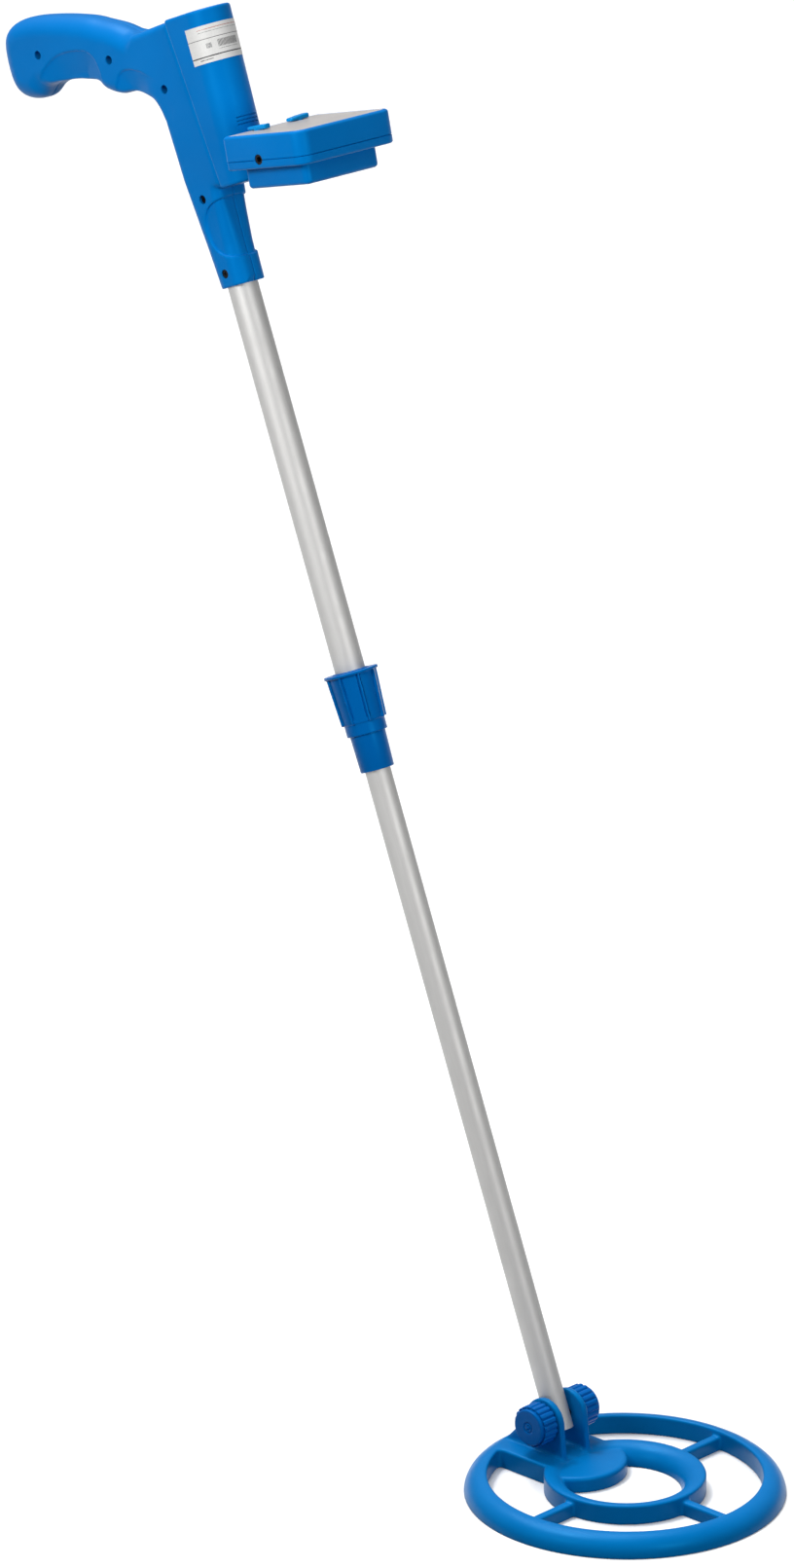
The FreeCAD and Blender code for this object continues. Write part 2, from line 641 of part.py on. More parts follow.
def make_battery_snap():
    floor = BAY_BOTTOM + DOOR_THICKNESS + 0.2
    back = -BATTERY[1] / 2 - 1
    cap = block(BATTERY_MIDDLE - 12, BATTERY_MIDDLE + 12, back - 2.6, back + 1.8, floor + 2.5, floor + 15)
    cups = [across(3.05, BATTERY_MIDDLE + offset, floor + BATTERY[2] / 2, back - 0.1, back + 3)
            for offset in (-6.4, 6.4)]
    return cap.cut(cups)


def make_battery_door():
    door = door_prism(0).common(battery_bay())
    grips = [block(DOOR_REAR + 6, DOOR_FRONT - 6, y, y + 1.2, BAY_BOTTOM - 1, BAY_BOTTOM + 0.5)
             for y in (16, 18.4, 20.8, 23.2)]
    return door.cut(grips)


# ---------------------------------------------------------------- search coil
def revolve(points):
    """Turns a profile of (radius, height) corners about Z."""
    return profile_face(points).revolve(Vector(0, 0, 0), Z, 360)


def arc_profile(start, middle, end, corners):
    """A closed face in XZ whose first side is an arc and whose other corners follow."""
    arc = Part.Arc(*[Vector(x, 0, z) for x, z in (start, middle, end)]).toShape()
    points = [Vector(x, 0, z) for x, z in (end,) + tuple(corners) + (start,)]
    lines = [Part.makeLine(a, b) for a, b in zip(points, points[1:])]
    return Part.Face(Part.Wire([arc] + lines))


def outer_ring():
    section = arc_profile((86.0, COIL_HEIGHT), (94.3, 9.4), (COIL_OUTER_R, 1.0),
                          ((COIL_OUTER_R, 0), (OUTER_RING_IN, 0), (OUTER_RING_IN, 11.4)))
    return section.revolve(Vector(0, 0, 0), Z, 360)


def inner_ring():
    section = arc_profile((47.8, COIL_HEIGHT), (39.6, 9.6), (INNER_RING_IN, 1.0),
                          ((INNER_RING_IN, 0), (INNER_RING_OUT, 0), (INNER_RING_OUT, 11.0)))
    return section.revolve(Vector(0, 0, 0), Z, 360)


def spokes(width, z_to):
    """Three bars between the rings: one in front and one on each side."""
    bars = []
    for turn in (-90, 0, 90):
        bar = block(47.5, 87.0, -width / 2, width / 2, 0, z_to)
        bar.rotate(Vector(0, 0, 0), Z, turn)
        bars.append(bar)
    return bars


def platform(inset, z_to):
    reach = math.sqrt(90.0 ** 2 - PLATFORM_HALF ** 2)
    slab = block(-reach, -30, -PLATFORM_HALF + inset, PLATFORM_HALF - inset, 0, z_to)
    return slab.cut(cylinder(47.5, 40, Vector(0, 0, -5)))


def pad(inset, z_to):
    disc = cylinder(PAD_R - inset, z_to, Vector(PAD_CENTRE, 0, 0))
    return disc.common(cylinder(48.5, 40, Vector(0, 0, -5)))


def ear(side):
    """An upright that holds the stem's end: round on top, with a tail down to the outer ring."""
    pivot_x = TILT_AXIS.x - COIL_CENTRE.x
    pivot_z = TILT_AXIS.z - COIL_CENTRE.z
    top = [(pivot_x + EAR_R * math.cos(math.radians(a)), pivot_z + EAR_R * math.sin(math.radians(a)))
           for a in (0, 75, 152)]
    over = Part.Arc(*[Vector(x, 0, z) for x, z in top]).toShape()
    tail = Part.Arc(Vector(top[2][0], 0, top[2][1]), Vector(-77.0, 0, 25.0), Vector(-88.5, 0, 12.0)).toShape()
    corners = [Vector(-88.5, 0, 12.0), Vector(-88.5, 0, 8.0), Vector(-39.5, 0, 8.0),
               Vector(top[0][0], 0, top[0][1])]
    lines = [Part.makeLine(a, b) for a, b in zip(corners, corners[1:])]
    face = Part.Face(Part.Wire([over, tail] + lines))
    y_from = EAR_INSIDE if side > 0 else -EAR_INSIDE - EAR_THICKNESS
    face.translate(Vector(0, y_from, 0))
    solid = face.extrude(Vector(0, EAR_THICKNESS, 0))
    return solid.cut(across(BOLT_R + 0.1, pivot_x, pivot_z, -40, 40))


def cover_footprint(gap, z_from, z_to):
    """The plate that closes the coil from below, or with a gap the rebate for it."""
    height = z_to - z_from
    rings = []
    inset = COVER_INSET - gap
    for outer, inner in ((COIL_OUTER_R, OUTER_RING_IN), (INNER_RING_OUT, INNER_RING_IN)):
        rings.append(tube(outer - inset, inner + inset, 0, height))
    bars = spokes(SPOKE_WIDTH - 2 * inset, height)
    slab = platform(inset, height)
    disc = pad(inset, height)
    footprint = fuse(rings + bars + [slab, disc])
    footprint.translate(Vector(0, 0, z_from))
    return footprint


def make_coil_shell():
    disc = pad(0, PAD_HEIGHT)
    rim = [edge for edge in disc.Edges
           if edge.BoundBox.ZMin > PAD_HEIGHT - 0.01 and edge.BoundBox.Center.x > PAD_CENTRE + 8]
    disc = disc.makeFillet(2.6, rim)
    bars = spokes(SPOKE_WIDTH, SPOKE_HEIGHT)
    body = fuse([outer_ring(), inner_ring(), disc, platform(0, COIL_HEIGHT)] + bars)
    body = fuse([body, ear(-1), ear(1)])
    channels = [tube(outer + WINDING_ROOM, inner - WINDING_ROOM, -1, CHANNEL_TOP)
                for outer, inner in (OUTER_WINDING, INNER_WINDING)]
    cavity = block(-82, -50.5, -22, 22, -1, 9.5)
    gland = cylinder(4.5, 20, Vector(GLAND_X, 0, 0))
    return body.cut([cover_footprint(0.05, -1, COVER_THICKNESS + 0.05), cavity, gland] + channels)


def make_coil_cover():
    return cover_footprint(0, 0, COVER_THICKNESS)


def make_gland():
    """A rubber grommet in the platform, where the coil's lead goes in."""
    barrel = cylinder(4.5, 4.2, Vector(GLAND_X, 0, 9.3))
    collar = cylinder(6.0, 1.2, Vector(GLAND_X, 0, COIL_HEIGHT))
    foot = cylinder(5.6, 1.0, Vector(GLAND_X, 0, 8.4))
    return fuse([barrel, collar, foot]).cut(cylinder(2.0, 20, Vector(GLAND_X, 0, 0)))


def make_winding(outer, inner):
    """A bound bundle of wire lying on the coil's cover."""
    return tube(outer, inner, COVER_THICKNESS + 0.1, COVER_THICKNESS + 0.1 + WINDING_HEIGHT)


def clamp_knob(side):
    """A fluted round knob with a smooth raised face, about an axis along Y from the ear outwards."""
    inner = EAR_INSIDE + EAR_THICKNESS + WASHER_THICKNESS + 0.1
    body = cylinder(CLAMP_R, CLAMP_DEPTH, Vector(0, 0, inner))
    for index in range(CLAMP_FLUTES):
        angle = 2 * math.pi * index / CLAMP_FLUTES
        place = Vector((CLAMP_R + 0.9) * math.cos(angle), (CLAMP_R + 0.9) * math.sin(angle), inner - 1)
        body = body.cut(cylinder(1.5, CLAMP_DEPTH + 2, place))
    face = cylinder(CLAMP_FACE_R, CLAMP_FACE_DEPTH, Vector(0, 0, inner + CLAMP_DEPTH - 0.1))
    outside = inner + CLAMP_DEPTH + CLAMP_FACE_DEPTH - 0.1
    rim = [edge for edge in face.Edges if edge.BoundBox.ZMin > outside - 0.01]
    face = face.makeFillet(1.2, rim)
    mark = tube(3.4, 2.4, outside - 0.2, outside + 0.3)
    knob = fuse([body, face, mark])
    return turned_out(knob, side), inner


def turned_out(shape, side):
    """Lays a shape built along Z along +Y or -Y, with its foot at the tilt axis."""
    moved = shape.copy()
    moved.rotate(Vector(0, 0, 0), X, -90 * side)
    moved.translate(TILT_AXIS)
    return moved


def hexagon(radius, height):
    corners = [Vector(radius * math.cos(math.radians(60 * k)), radius * math.sin(math.radians(60 * k)), 0)
               for k in range(6)]
    return Part.Face(Part.makePolygon(corners + corners[:1])).extrude(Vector(0, 0, height))


def make_clamp():
    """Bolt, right knob with the bolt's head moulded in, left knob with a captive nut, and washers."""
    right, inner = clamp_knob(-1)
    left, inner = clamp_knob(1)
    tip = inner + 7.0
    centre = TILT_AXIS
    bolt = across(BOLT_R, centre.x, centre.z, -inner - 3.0, tip)
    head = hexagon(5.2, 4.0)
    head.translate(Vector(0, 0, inner + 3.0))
    bolt = fuse([bolt, turned_out(head, -1)])
    nut = hexagon(5.2, 5.0)
    nut.translate(Vector(0, 0, inner + 2.0))
    nut = turned_out(nut, 1).cut(across(BOLT_R + 0.05, centre.x, centre.z, 0, 60))
    right = right.cut(bolt)
    left = left.cut([nut, across(BOLT_R + 0.05, centre.x, centre.z, 0, tip + 0.3)])
    washers = []
    for side in (-1, 1):
        washer = tube(8.0, BOLT_R + 0.1, inner - 0.1 - WASHER_THICKNESS, inner - 0.1)
        washers.append(turned_out(washer, side))
    return {"clamp_knob_right": right, "clamp_knob_left": left, "clamp_bolt": bolt, "clamp_nut": nut,
            "clamp_washers": group(washers)}


# ---------------------------------------------------------------- assembly
def build():
    stem = stem_placement()
    box = box_placement()
    coil = coil_placement()
    right, left = make_handle_halves()
    pod_screws = [placed(screw, stem) for screw in make_pod_screws()]
    nodes = {
        "handle_right": right.cut(pod_screws),
        "handle_left": left.cut(pod_screws),
        "handle_screws": make_handle_screws(),
        "pod_screws": group(pod_screws),
        "pod_shell": placed(make_pod_shell(), stem),
        "pod_label": placed(make_label(), stem),
        "speaker": placed(make_speaker(), stem),
        "upper_tube": placed(make_upper_tube(), stem),
        "collet": placed(make_collet(), stem),
        "lock_nut": placed(make_lock_nut(), stem),
        "lower_tube": placed(make_lower_tube(), stem),
        "lower_tube_bushing": placed(make_bushing(), stem),
        "lower_tube_insert": placed(make_tube_insert(), stem),
        "control_cover": placed(make_control_cover(), box),
        "control_tray": placed(make_control_tray(), box),
        "control_screws": placed(make_box_screws(), box),
        "bridge_screws": placed(group(make_bridge_screws()), box),
        "control_panel": placed(make_panel(), box),
        "circuit_board": placed(make_circuit_board(), box),
        "volume_control": placed(make_pot(-1), box),
        "tuning_control": placed(make_pot(1), box),
        "volume_knob": placed(make_knob(-1, 0), box),
        "tuning_knob": placed(make_knob(1, 90), box),
        "headphone_socket": placed(make_socket(), box),
        "battery": placed(make_battery(), box),
        "battery_snap": placed(make_battery_snap(), box),
        "battery_door": placed(make_battery_door(), box),
        "coil_shell": placed(make_coil_shell(), coil),
        "coil_cover": placed(make_coil_cover(), coil),
        "outer_winding": placed(make_winding(*OUTER_WINDING), coil),
        "inner_winding": placed(make_winding(*INNER_WINDING), coil),
        "coil_gland": placed(make_gland(), coil),
    }
    nodes.update(make_clamp())
    return nodes


def main():
    os.makedirs("parts", exist_ok=True)
    for name, shape in build().items():
        if not shape.isValid():
            print("not valid:", name)
        print(name, len(shape.Solids), "solids", round(shape.Volume), "mm3")
        shape.exportStep(os.path.join("parts", name + ".step"))


main()
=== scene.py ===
"""Looks of the metal detector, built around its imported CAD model.

Small parts are worked out in millimetres in the frame of the part that they
belong to (stem, control box or search coil), and set in the row frame in metres.
"""

import json
import math

import bmesh
import bpy
import numpy as np
from mathutils import Matrix, Vector


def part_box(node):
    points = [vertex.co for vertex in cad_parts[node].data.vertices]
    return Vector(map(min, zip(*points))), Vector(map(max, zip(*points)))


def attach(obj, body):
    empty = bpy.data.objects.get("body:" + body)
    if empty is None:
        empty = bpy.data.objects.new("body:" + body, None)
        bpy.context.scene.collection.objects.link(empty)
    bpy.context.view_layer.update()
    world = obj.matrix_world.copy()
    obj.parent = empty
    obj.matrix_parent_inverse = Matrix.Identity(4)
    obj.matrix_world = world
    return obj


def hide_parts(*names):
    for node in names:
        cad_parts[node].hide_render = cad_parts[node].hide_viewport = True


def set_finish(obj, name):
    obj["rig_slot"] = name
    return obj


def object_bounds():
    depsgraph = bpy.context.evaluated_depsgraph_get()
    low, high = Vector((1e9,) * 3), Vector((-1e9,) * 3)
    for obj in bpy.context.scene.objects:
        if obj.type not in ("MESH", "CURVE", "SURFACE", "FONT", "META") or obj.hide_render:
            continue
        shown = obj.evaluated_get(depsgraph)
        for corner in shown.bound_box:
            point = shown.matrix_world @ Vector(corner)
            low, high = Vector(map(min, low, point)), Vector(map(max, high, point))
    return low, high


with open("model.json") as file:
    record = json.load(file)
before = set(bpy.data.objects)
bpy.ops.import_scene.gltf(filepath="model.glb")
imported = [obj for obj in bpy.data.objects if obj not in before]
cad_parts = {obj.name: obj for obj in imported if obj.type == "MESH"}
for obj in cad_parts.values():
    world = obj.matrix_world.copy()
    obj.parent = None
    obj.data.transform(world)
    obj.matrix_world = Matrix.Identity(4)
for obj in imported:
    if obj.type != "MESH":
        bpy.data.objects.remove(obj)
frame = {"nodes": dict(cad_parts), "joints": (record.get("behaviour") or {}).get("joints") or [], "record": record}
CAD_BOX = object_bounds()
JOINTS = {joint["name"]: joint for joint in frame["joints"]}
MM = 0.001

# ------------------------------------------------------------ frames of the parts


def local_frame(origin, up):
    """Millimetres with Z along up, Y along the row's Y, and X forward."""
    up = Vector(up).normalized()
    across = Vector((0, 1, 0))
    forward = across.cross(up)
    turn = Matrix((forward, across, up)).transposed().to_4x4()
    return Matrix.Translation(Vector(origin)) @ turn @ Matrix.Scale(MM, 4)


STEM = local_frame(JOINTS["coil_tilt"]["pos_m"], JOINTS["stem_slide"]["axis"])

KNOB_BACK = 58.5
KNOB_SPREAD = 16.5
volume_frame = local_frame(JOINTS["volume_turn"]["pos_m"], JOINTS["volume_turn"]["axis"])
BOX = volume_frame @ Matrix.Translation((KNOB_BACK, KNOB_SPREAD, 0))

cover_low, cover_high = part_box("coil_cover")
coil_middle = (cover_low + cover_high) / 2
COIL = local_frame((coil_middle.x, coil_middle.y, cover_low.z), (0, 0, 1))
GRIP = Matrix.Scale(MM, 4)

stem_forward = STEM.to_3x3() @ Vector((1, 0, 0)) / MM
stem_up = STEM.to_3x3() @ Vector((0, 0, 1)) / MM
stem_foot = STEM.translation / MM


def on_stem(x, z):
    """Forward and along-stem distances of points given in the grip's frame."""
    dx = x - stem_foot.x
    dz = z - stem_foot.z
    return dx * stem_forward.x + dz * stem_forward.z, dx * stem_up.x + dz * stem_up.z


def from_stem(forward, along):
    point = STEM @ Vector((forward, 0, along)) / MM
    return point.x, point.z


# ------------------------------------------------------------ fields
# A field gives the distance to a surface in millimetres, below zero inside.


def round_union(a, b, r):
    corner = np.sqrt(np.maximum(r - a, 0) ** 2 + np.maximum(r - b, 0) ** 2)
    return np.maximum(np.minimum(a, b), r) - corner


def round_overlap(a, b, r):
    corner = np.sqrt(np.maximum(r + a, 0) ** 2 + np.maximum(r + b, 0) ** 2)
    return np.minimum(np.maximum(a, b), -r) + corner


def round_cut(a, b, r):
    return round_overlap(a, -b, r)


def smoothstep(low, high, value):
    share = np.clip((value - low) / (high - low), 0, 1)
    return share * share * (3 - 2 * share)


def polygon_distance(points, x, z):
    """Signed distance to a closed polygon, below zero inside."""
    shape = np.broadcast(x, z).shape
    best = np.full(shape, 1e9)
    inside = np.zeros(shape, bool)
    for (x0, z0), (x1, z1) in zip(points, points[1:] + points[:1]):
        ex, ez = x1 - x0, z1 - z0
        share = np.clip(((x - x0) * ex + (z - z0) * ez) / max(ex * ex + ez * ez, 1e-12), 0, 1)
        gap = (x - x0 - share * ex) ** 2 + (z - z0 - share * ez) ** 2
        best = np.minimum(best, gap)
        if z0 != z1:
            crosses = (z0 > z) != (z1 > z)
            inside ^= crosses & (x < ex * (z - z0) / ez + x0)
    return np.where(inside, -1, 1) * np.sqrt(best)


def smooth_line(points, steps=6):
    """Points on a Catmull-Rom curve through the given ones, both ends included."""
    given = [Vector(p) for p in points]
    padded = [2 * given[0] - given[1]] + given + [2 * given[-1] - given[-2]]
    line = []
    for p0, p1, p2, p3 in zip(padded, padded[1:], padded[2:], padded[3:]):
        for k in range(steps):
            t = k / steps
            line.append(0.5 * (2 * p1 + (p2 - p0) * t + (2 * p0 - 5 * p1 + 4 * p2 - p3) * t ** 2
                               + (3 * p1 - p0 - 3 * p2 + p3) * t ** 3))
    line.append(given[-1])
    return [tuple(p) for p in line]


def rounded_corner(a, b, r):
    """The overlap of two half-spaces with its edge rounded: a and b are measured from the arc's centre."""
    return np.hypot(np.maximum(a, 0), np.maximum(b, 0)) + np.minimum(np.maximum(a, b), 0) - r


def circle_through(a, b, c):
    """Centre and radius of the circle through three points."""
    (ax, ay), (bx, by), (cx, cy) = a, b, c
    d = 2 * (ax * (by - cy) + bx * (cy - ay) + cx * (ay - by))
    sa, sb, sc = ax * ax + ay * ay, bx * bx + by * by, cx * cx + cy * cy
    x = (sa * (by - cy) + sb * (cy - ay) + sc * (ay - by)) / d
    y = (sa * (cx - bx) + sb * (ax - cx) + sc * (bx - ax)) / d
    return x, y, math.hypot(ax - x, ay - y)


# ------------------------------------------------------------ mesh makers
CORNERS = [(i, j, k) for i in (0, 1) for j in (0, 1) for k in (0, 1)]
CELL_EDGES = [(a, b) for a in range(8) for b in range(a + 1, 8)
              if sum(abs(p - q) for p, q in zip(CORNERS[a], CORNERS[b])) == 1]


def surface_of(field, low, high, step):
    """Vertices and quads of the surface where the field is zero, by surface nets."""
    axes = [np.arange(a - 2 * step, b + 3 * step, step) for a, b in zip(low, high)]
    grid = np.ascontiguousarray(np.broadcast_to(
        field(axes[0][:, None, None], axes[1][None, :, None], axes[2][None, None, :]),
        tuple(len(a) for a in axes))).astype(np.float32)
    inside = grid < 0
    cells = tuple(n - 1 for n in grid.shape)
    count = np.zeros(cells, np.uint8)
    for i, j, k in CORNERS:
        count += inside[i:i + cells[0], j:j + cells[1], k:k + cells[2]]
    active = (count > 0) & (count < 8)
    where = np.argwhere(active)
    index = np.full(cells, -1, np.int64)
    index[active] = np.arange(len(where))
    corner_values = [grid[where[:, 0] + i, where[:, 1] + j, where[:, 2] + k] for i, j, k in CORNERS]
    total = np.zeros((len(where), 3))
    hits = np.zeros(len(where))
    for a, b in CELL_EDGES:
        va, vb = corner_values[a], corner_values[b]
        cut = (va < 0) != (vb < 0)
        share = np.where(cut, va / np.where(cut, va - vb, 1), 0)
        point = np.array(CORNERS[a]) + share[:, None] * (np.array(CORNERS[b]) - np.array(CORNERS[a]))
        total += np.where(cut[:, None], point, 0)
        hits += cut
    base = np.array([a[0] for a in axes])
    points = base + (where + total / hits[:, None]) * step
    quads = []
    for axis in range(3):
        other, third = (axis + 1) % 3, (axis + 2) % 3
        ahead = np.swapaxes(inside, 0, axis)
        crossing = np.swapaxes(ahead[:-1] != ahead[1:], 0, axis)
        found = np.argwhere(crossing)
        keep = (found[:, other] > 0) & (found[:, third] > 0)
        for a in (other, third):
            keep &= found[:, a] < cells[a]
        found = found[keep]
        ring = []
        for b, c in ((0, 0), (1, 0), (1, 1), (0, 1)):
            cell = found.copy()
            cell[:, other] -= b
            cell[:, third] -= c
            ring.append(index[tuple(cell.T)])
        quad = np.stack(ring, axis=1)
        outward = inside[tuple(found.T)]
        quad[~outward] = quad[~outward][:, ::-1]
        quads.append(quad)
    return points, np.concatenate(quads)


def settle(field, points, rounds=3, reach=0.6):
    """Moves points onto the zero surface of the field along its slope."""
    tiny = 0.02
    for _ in range(rounds):
        x, y, z = points.T
        value = field(x, y, z)
        slope = np.stack([field(x + tiny, y, z) - field(x - tiny, y, z),
                          field(x, y + tiny, z) - field(x, y - tiny, z),
                          field(x, y, z + tiny) - field(x, y, z - tiny)], axis=1) / (2 * tiny)
        size = np.maximum((slope ** 2).sum(axis=1), 0.2)
        move = -(value / size)[:, None] * slope
        length = np.linalg.norm(move, axis=1, keepdims=True)
        points = points + move * np.minimum(1, reach / np.maximum(length, 1e-9))
    return points


def new_piece(name, mesh, place):
    mesh.transform(place)
    mesh.update()
    piece = bpy.data.objects.new(name, mesh)
    bpy.context.scene.collection.objects.link(piece)
    return piece


def shade(piece, angle=40):
    """Smooth shading, kept crisp at edges sharper than the angle."""
    mesh = piece.data
    mesh.shade_smooth()
    mesh.set_sharp_from_angle(angle=math.radians(angle))


def field_mesh(name, field, low, high, step):
    """The mesh of the surface where the field is zero."""
    points, quads = surface_of(field, low, high, step)
    points = settle(field, points)
    mesh = bpy.data.meshes.new(name)
    mesh.from_pydata(points.tolist(), [], quads.tolist())
    mesh.validate()
    return mesh


def moulded(name, field, low, high, step, place, angle=50):
    """A piece whose surface is the field's zero surface, in a part's own frame."""
    piece = new_piece(name, field_mesh(name, field, low, high, step), place)
    shade(piece, angle)
    return piece


def mesh_of(name, rings, closed_ends=True):
    """A skin over closed rings of points, one ring after the other."""
    sides = len(rings[0])
    points = [tuple(p) for ring in rings for p in ring]
    faces = []
    for r in range(len(rings) - 1):
        for k in range(sides):
            a = r * sides + k
            b = r * sides + (k + 1) % sides
            faces.append((a, b, b + sides, a + sides))
    if closed_ends:
        faces.append(tuple(range(sides - 1, -1, -1)))
        start = (len(rings) - 1) * sides
        faces.append(tuple(range(start, start + sides)))
    mesh = bpy.data.meshes.new(name)
    mesh.from_pydata(points, [], faces)
    mesh.validate()
    return mesh


def outward(mesh):
    work = bmesh.new()
    work.from_mesh(mesh)
    bmesh.ops.remove_doubles(work, verts=work.verts, dist=1e-5)
    bmesh.ops.recalc_face_normals(work, faces=work.faces)
    work.to_mesh(mesh)
    work.free()
    return mesh


def circle_steps(sides):
    """Cosine and sine at even steps round a circle."""
    return [(math.cos(2 * math.pi * k / sides), math.sin(2 * math.pi * k / sides)) for k in range(sides)]


def turned(name, profile, place, sides=96, angle=35):
    """A body of revolution about local Z, from a closed loop of (radius, height) points."""
    rings = [[(r * c, r * s, z) for c, s in circle_steps(sides)] for r, z in profile]
    mesh = outward(mesh_of(name, rings, closed_ends=False))
    piece = new_piece(name, mesh, place)
    shade(piece, angle)
    return piece


def slab_ring(outline, inset, z, corner_steps=10):
    """A rounded rectangle at height z, anticlockwise from above, with tighter corners at the rear."""
    x_from, x_to, half_width, front_corner = outline
    x_mid = (x_from + x_to) / 2
    half = (x_to - x_from) / 2 - inset
    ring = []
    for quarter, (sx, sy) in enumerate(((1, 1), (-1, 1), (-1, -1), (1, -1))):
        corner = max((front_corner if sx > 0 else BOX_REAR_CORNER) - inset, LEAST_CORNER)
        for k in range(corner_steps + 1):
            a = math.pi / 2 * (quarter + k / corner_steps)
            ring.append((x_mid + sx * (half - corner) + corner * math.cos(a),
                         sy * (half_width - inset - corner) + corner * math.sin(a), z))
    return ring


def stacked(name, outline, profile, place, angle=35):
    """A slab with one outline, pulled in by each profile point's inset at its height."""
    rings = [slab_ring(outline, inset, z) for inset, z in profile]
    piece = new_piece(name, outward(mesh_of(name, rings)), place)
    shade(piece, angle)
    return piece


def rounded_steps(inset, z, radius, sign, steps=5):
    """Profile points round an outer edge, from the wall to the flat. sign is +1 at a top edge."""
    return [(inset + radius * (1 - math.cos(a)), z - sign * radius * (1 - math.sin(a)))
            for a in (math.pi / 2 * k / steps for k in range(steps + 1))]


def rod(name, radius, start, end, sides=48):
    """A plain round cutter between two points in a part's own frame."""
    start, end = Vector(start), Vector(end)
    axis = (end - start).normalized()
    side = axis.orthogonal().normalized()
    other = axis.cross(side)
    rings = [[p + radius * (c * side + s * other) for c, s in circle_steps(sides)] for p in (start, end)]
    return outward(mesh_of(name, rings))


def bar(name, low, high):
    (x0, y0, z0), (x1, y1, z1) = low, high
    rings = [[(x0, y0, z), (x1, y0, z), (x1, y1, z), (x0, y1, z)] for z in (z0, z1)]
    return outward(mesh_of(name, rings))


def apply_modifiers(piece):
    graph = bpy.context.evaluated_depsgraph_get()
    mesh = bpy.data.meshes.new_from_object(piece.evaluated_get(graph))
    old = piece.data
    piece.modifiers.clear()
    piece.data = mesh
    bpy.data.meshes.remove(old)


def combine(piece, meshes, place, operation="DIFFERENCE", angle=35):
    """Cuts the meshes out of the piece, or joins them to it."""
    for mesh in meshes:
        tool = new_piece("tool", mesh, place)
        change = piece.modifiers.new("change", "BOOLEAN")
        change.operation = operation
        change.solver = "EXACT"
        change.object = tool
        bpy.context.view_layer.update()
        apply_modifiers(piece)
        bpy.data.objects.remove(tool)
    shade(piece, angle)


# ------------------------------------------------------------ search coil
RIM_PAST_COVER = 1.4
COIL_R = (cover_high.y - cover_low.y) / 2 / MM + RIM_PAST_COVER
OUTER_RING_IN = 84.4
INNER_RING_OUT = 49.7
INNER_RING_IN = 34.8
COIL_HEIGHT = 12.5
RING_EDGE = 1.3
PLATFORM_HALF = 27.0
PAD_CENTRE = -42.5
PAD_R = 33.0
PAD_HEIGHT = 9.8
PAD_EDGE = 2.6
PAD_TO = 47.0
PLATFORM_FROM, PLATFORM_TO = 47.2, 87.0
PLATFORM_FILLET = 4.0
SPOKE_FROM, SPOKE_TO = 48.0, 86.5
SPOKE_HALF = 3.0
SPOKE_HEIGHT = 9.0
SPOKE_EDGE = 1.2
SPOKE_FILLET = 1.8
EAR_MIDDLE = 10.6
EAR_HALF = 2.0
EAR_R = 14.5
EAR_EDGE = 0.8
EAR_FILLET = 2.0
BOLT_HOLE_R, BOLT_HOLE_HALF = 3.1, 16.0
PIVOT = COIL.inverted() @ STEM.translation
COVER_INSET = 1.35
COVER_REBATE = 1.55
REBATE_PLATFORM_TO = 90.0
REBATE_PAD_TO = 48.5
CHANNELS = ((94.0, 87.3), (47.0, 40.5))
CHANNEL_TOP = 6.0
OUTER_CROWN = circle_through((86.0, COIL_HEIGHT), (94.3, 9.4), (COIL_R, 1.0))
INNER_CROWN = circle_through((47.8, COIL_HEIGHT), (39.6, 9.6), (INNER_RING_IN, 1.0))


def ear_outline():
    """The upright's side view: round on top, with a tail that runs down to the outer ring."""
    top = [(PIVOT.x + EAR_R * math.cos(math.radians(a)), PIVOT.z + EAR_R * math.sin(math.radians(a)))
           for a in range(0, 153, 8)]
    tail = smooth_line([top[-1], (-77.0, 25.0), (-88.5, 12.0)], 6)
    return top + tail[1:] + [(-88.5, 6.0), (-39.5, 6.0)]


EAR_OUTLINE = ear_outline()


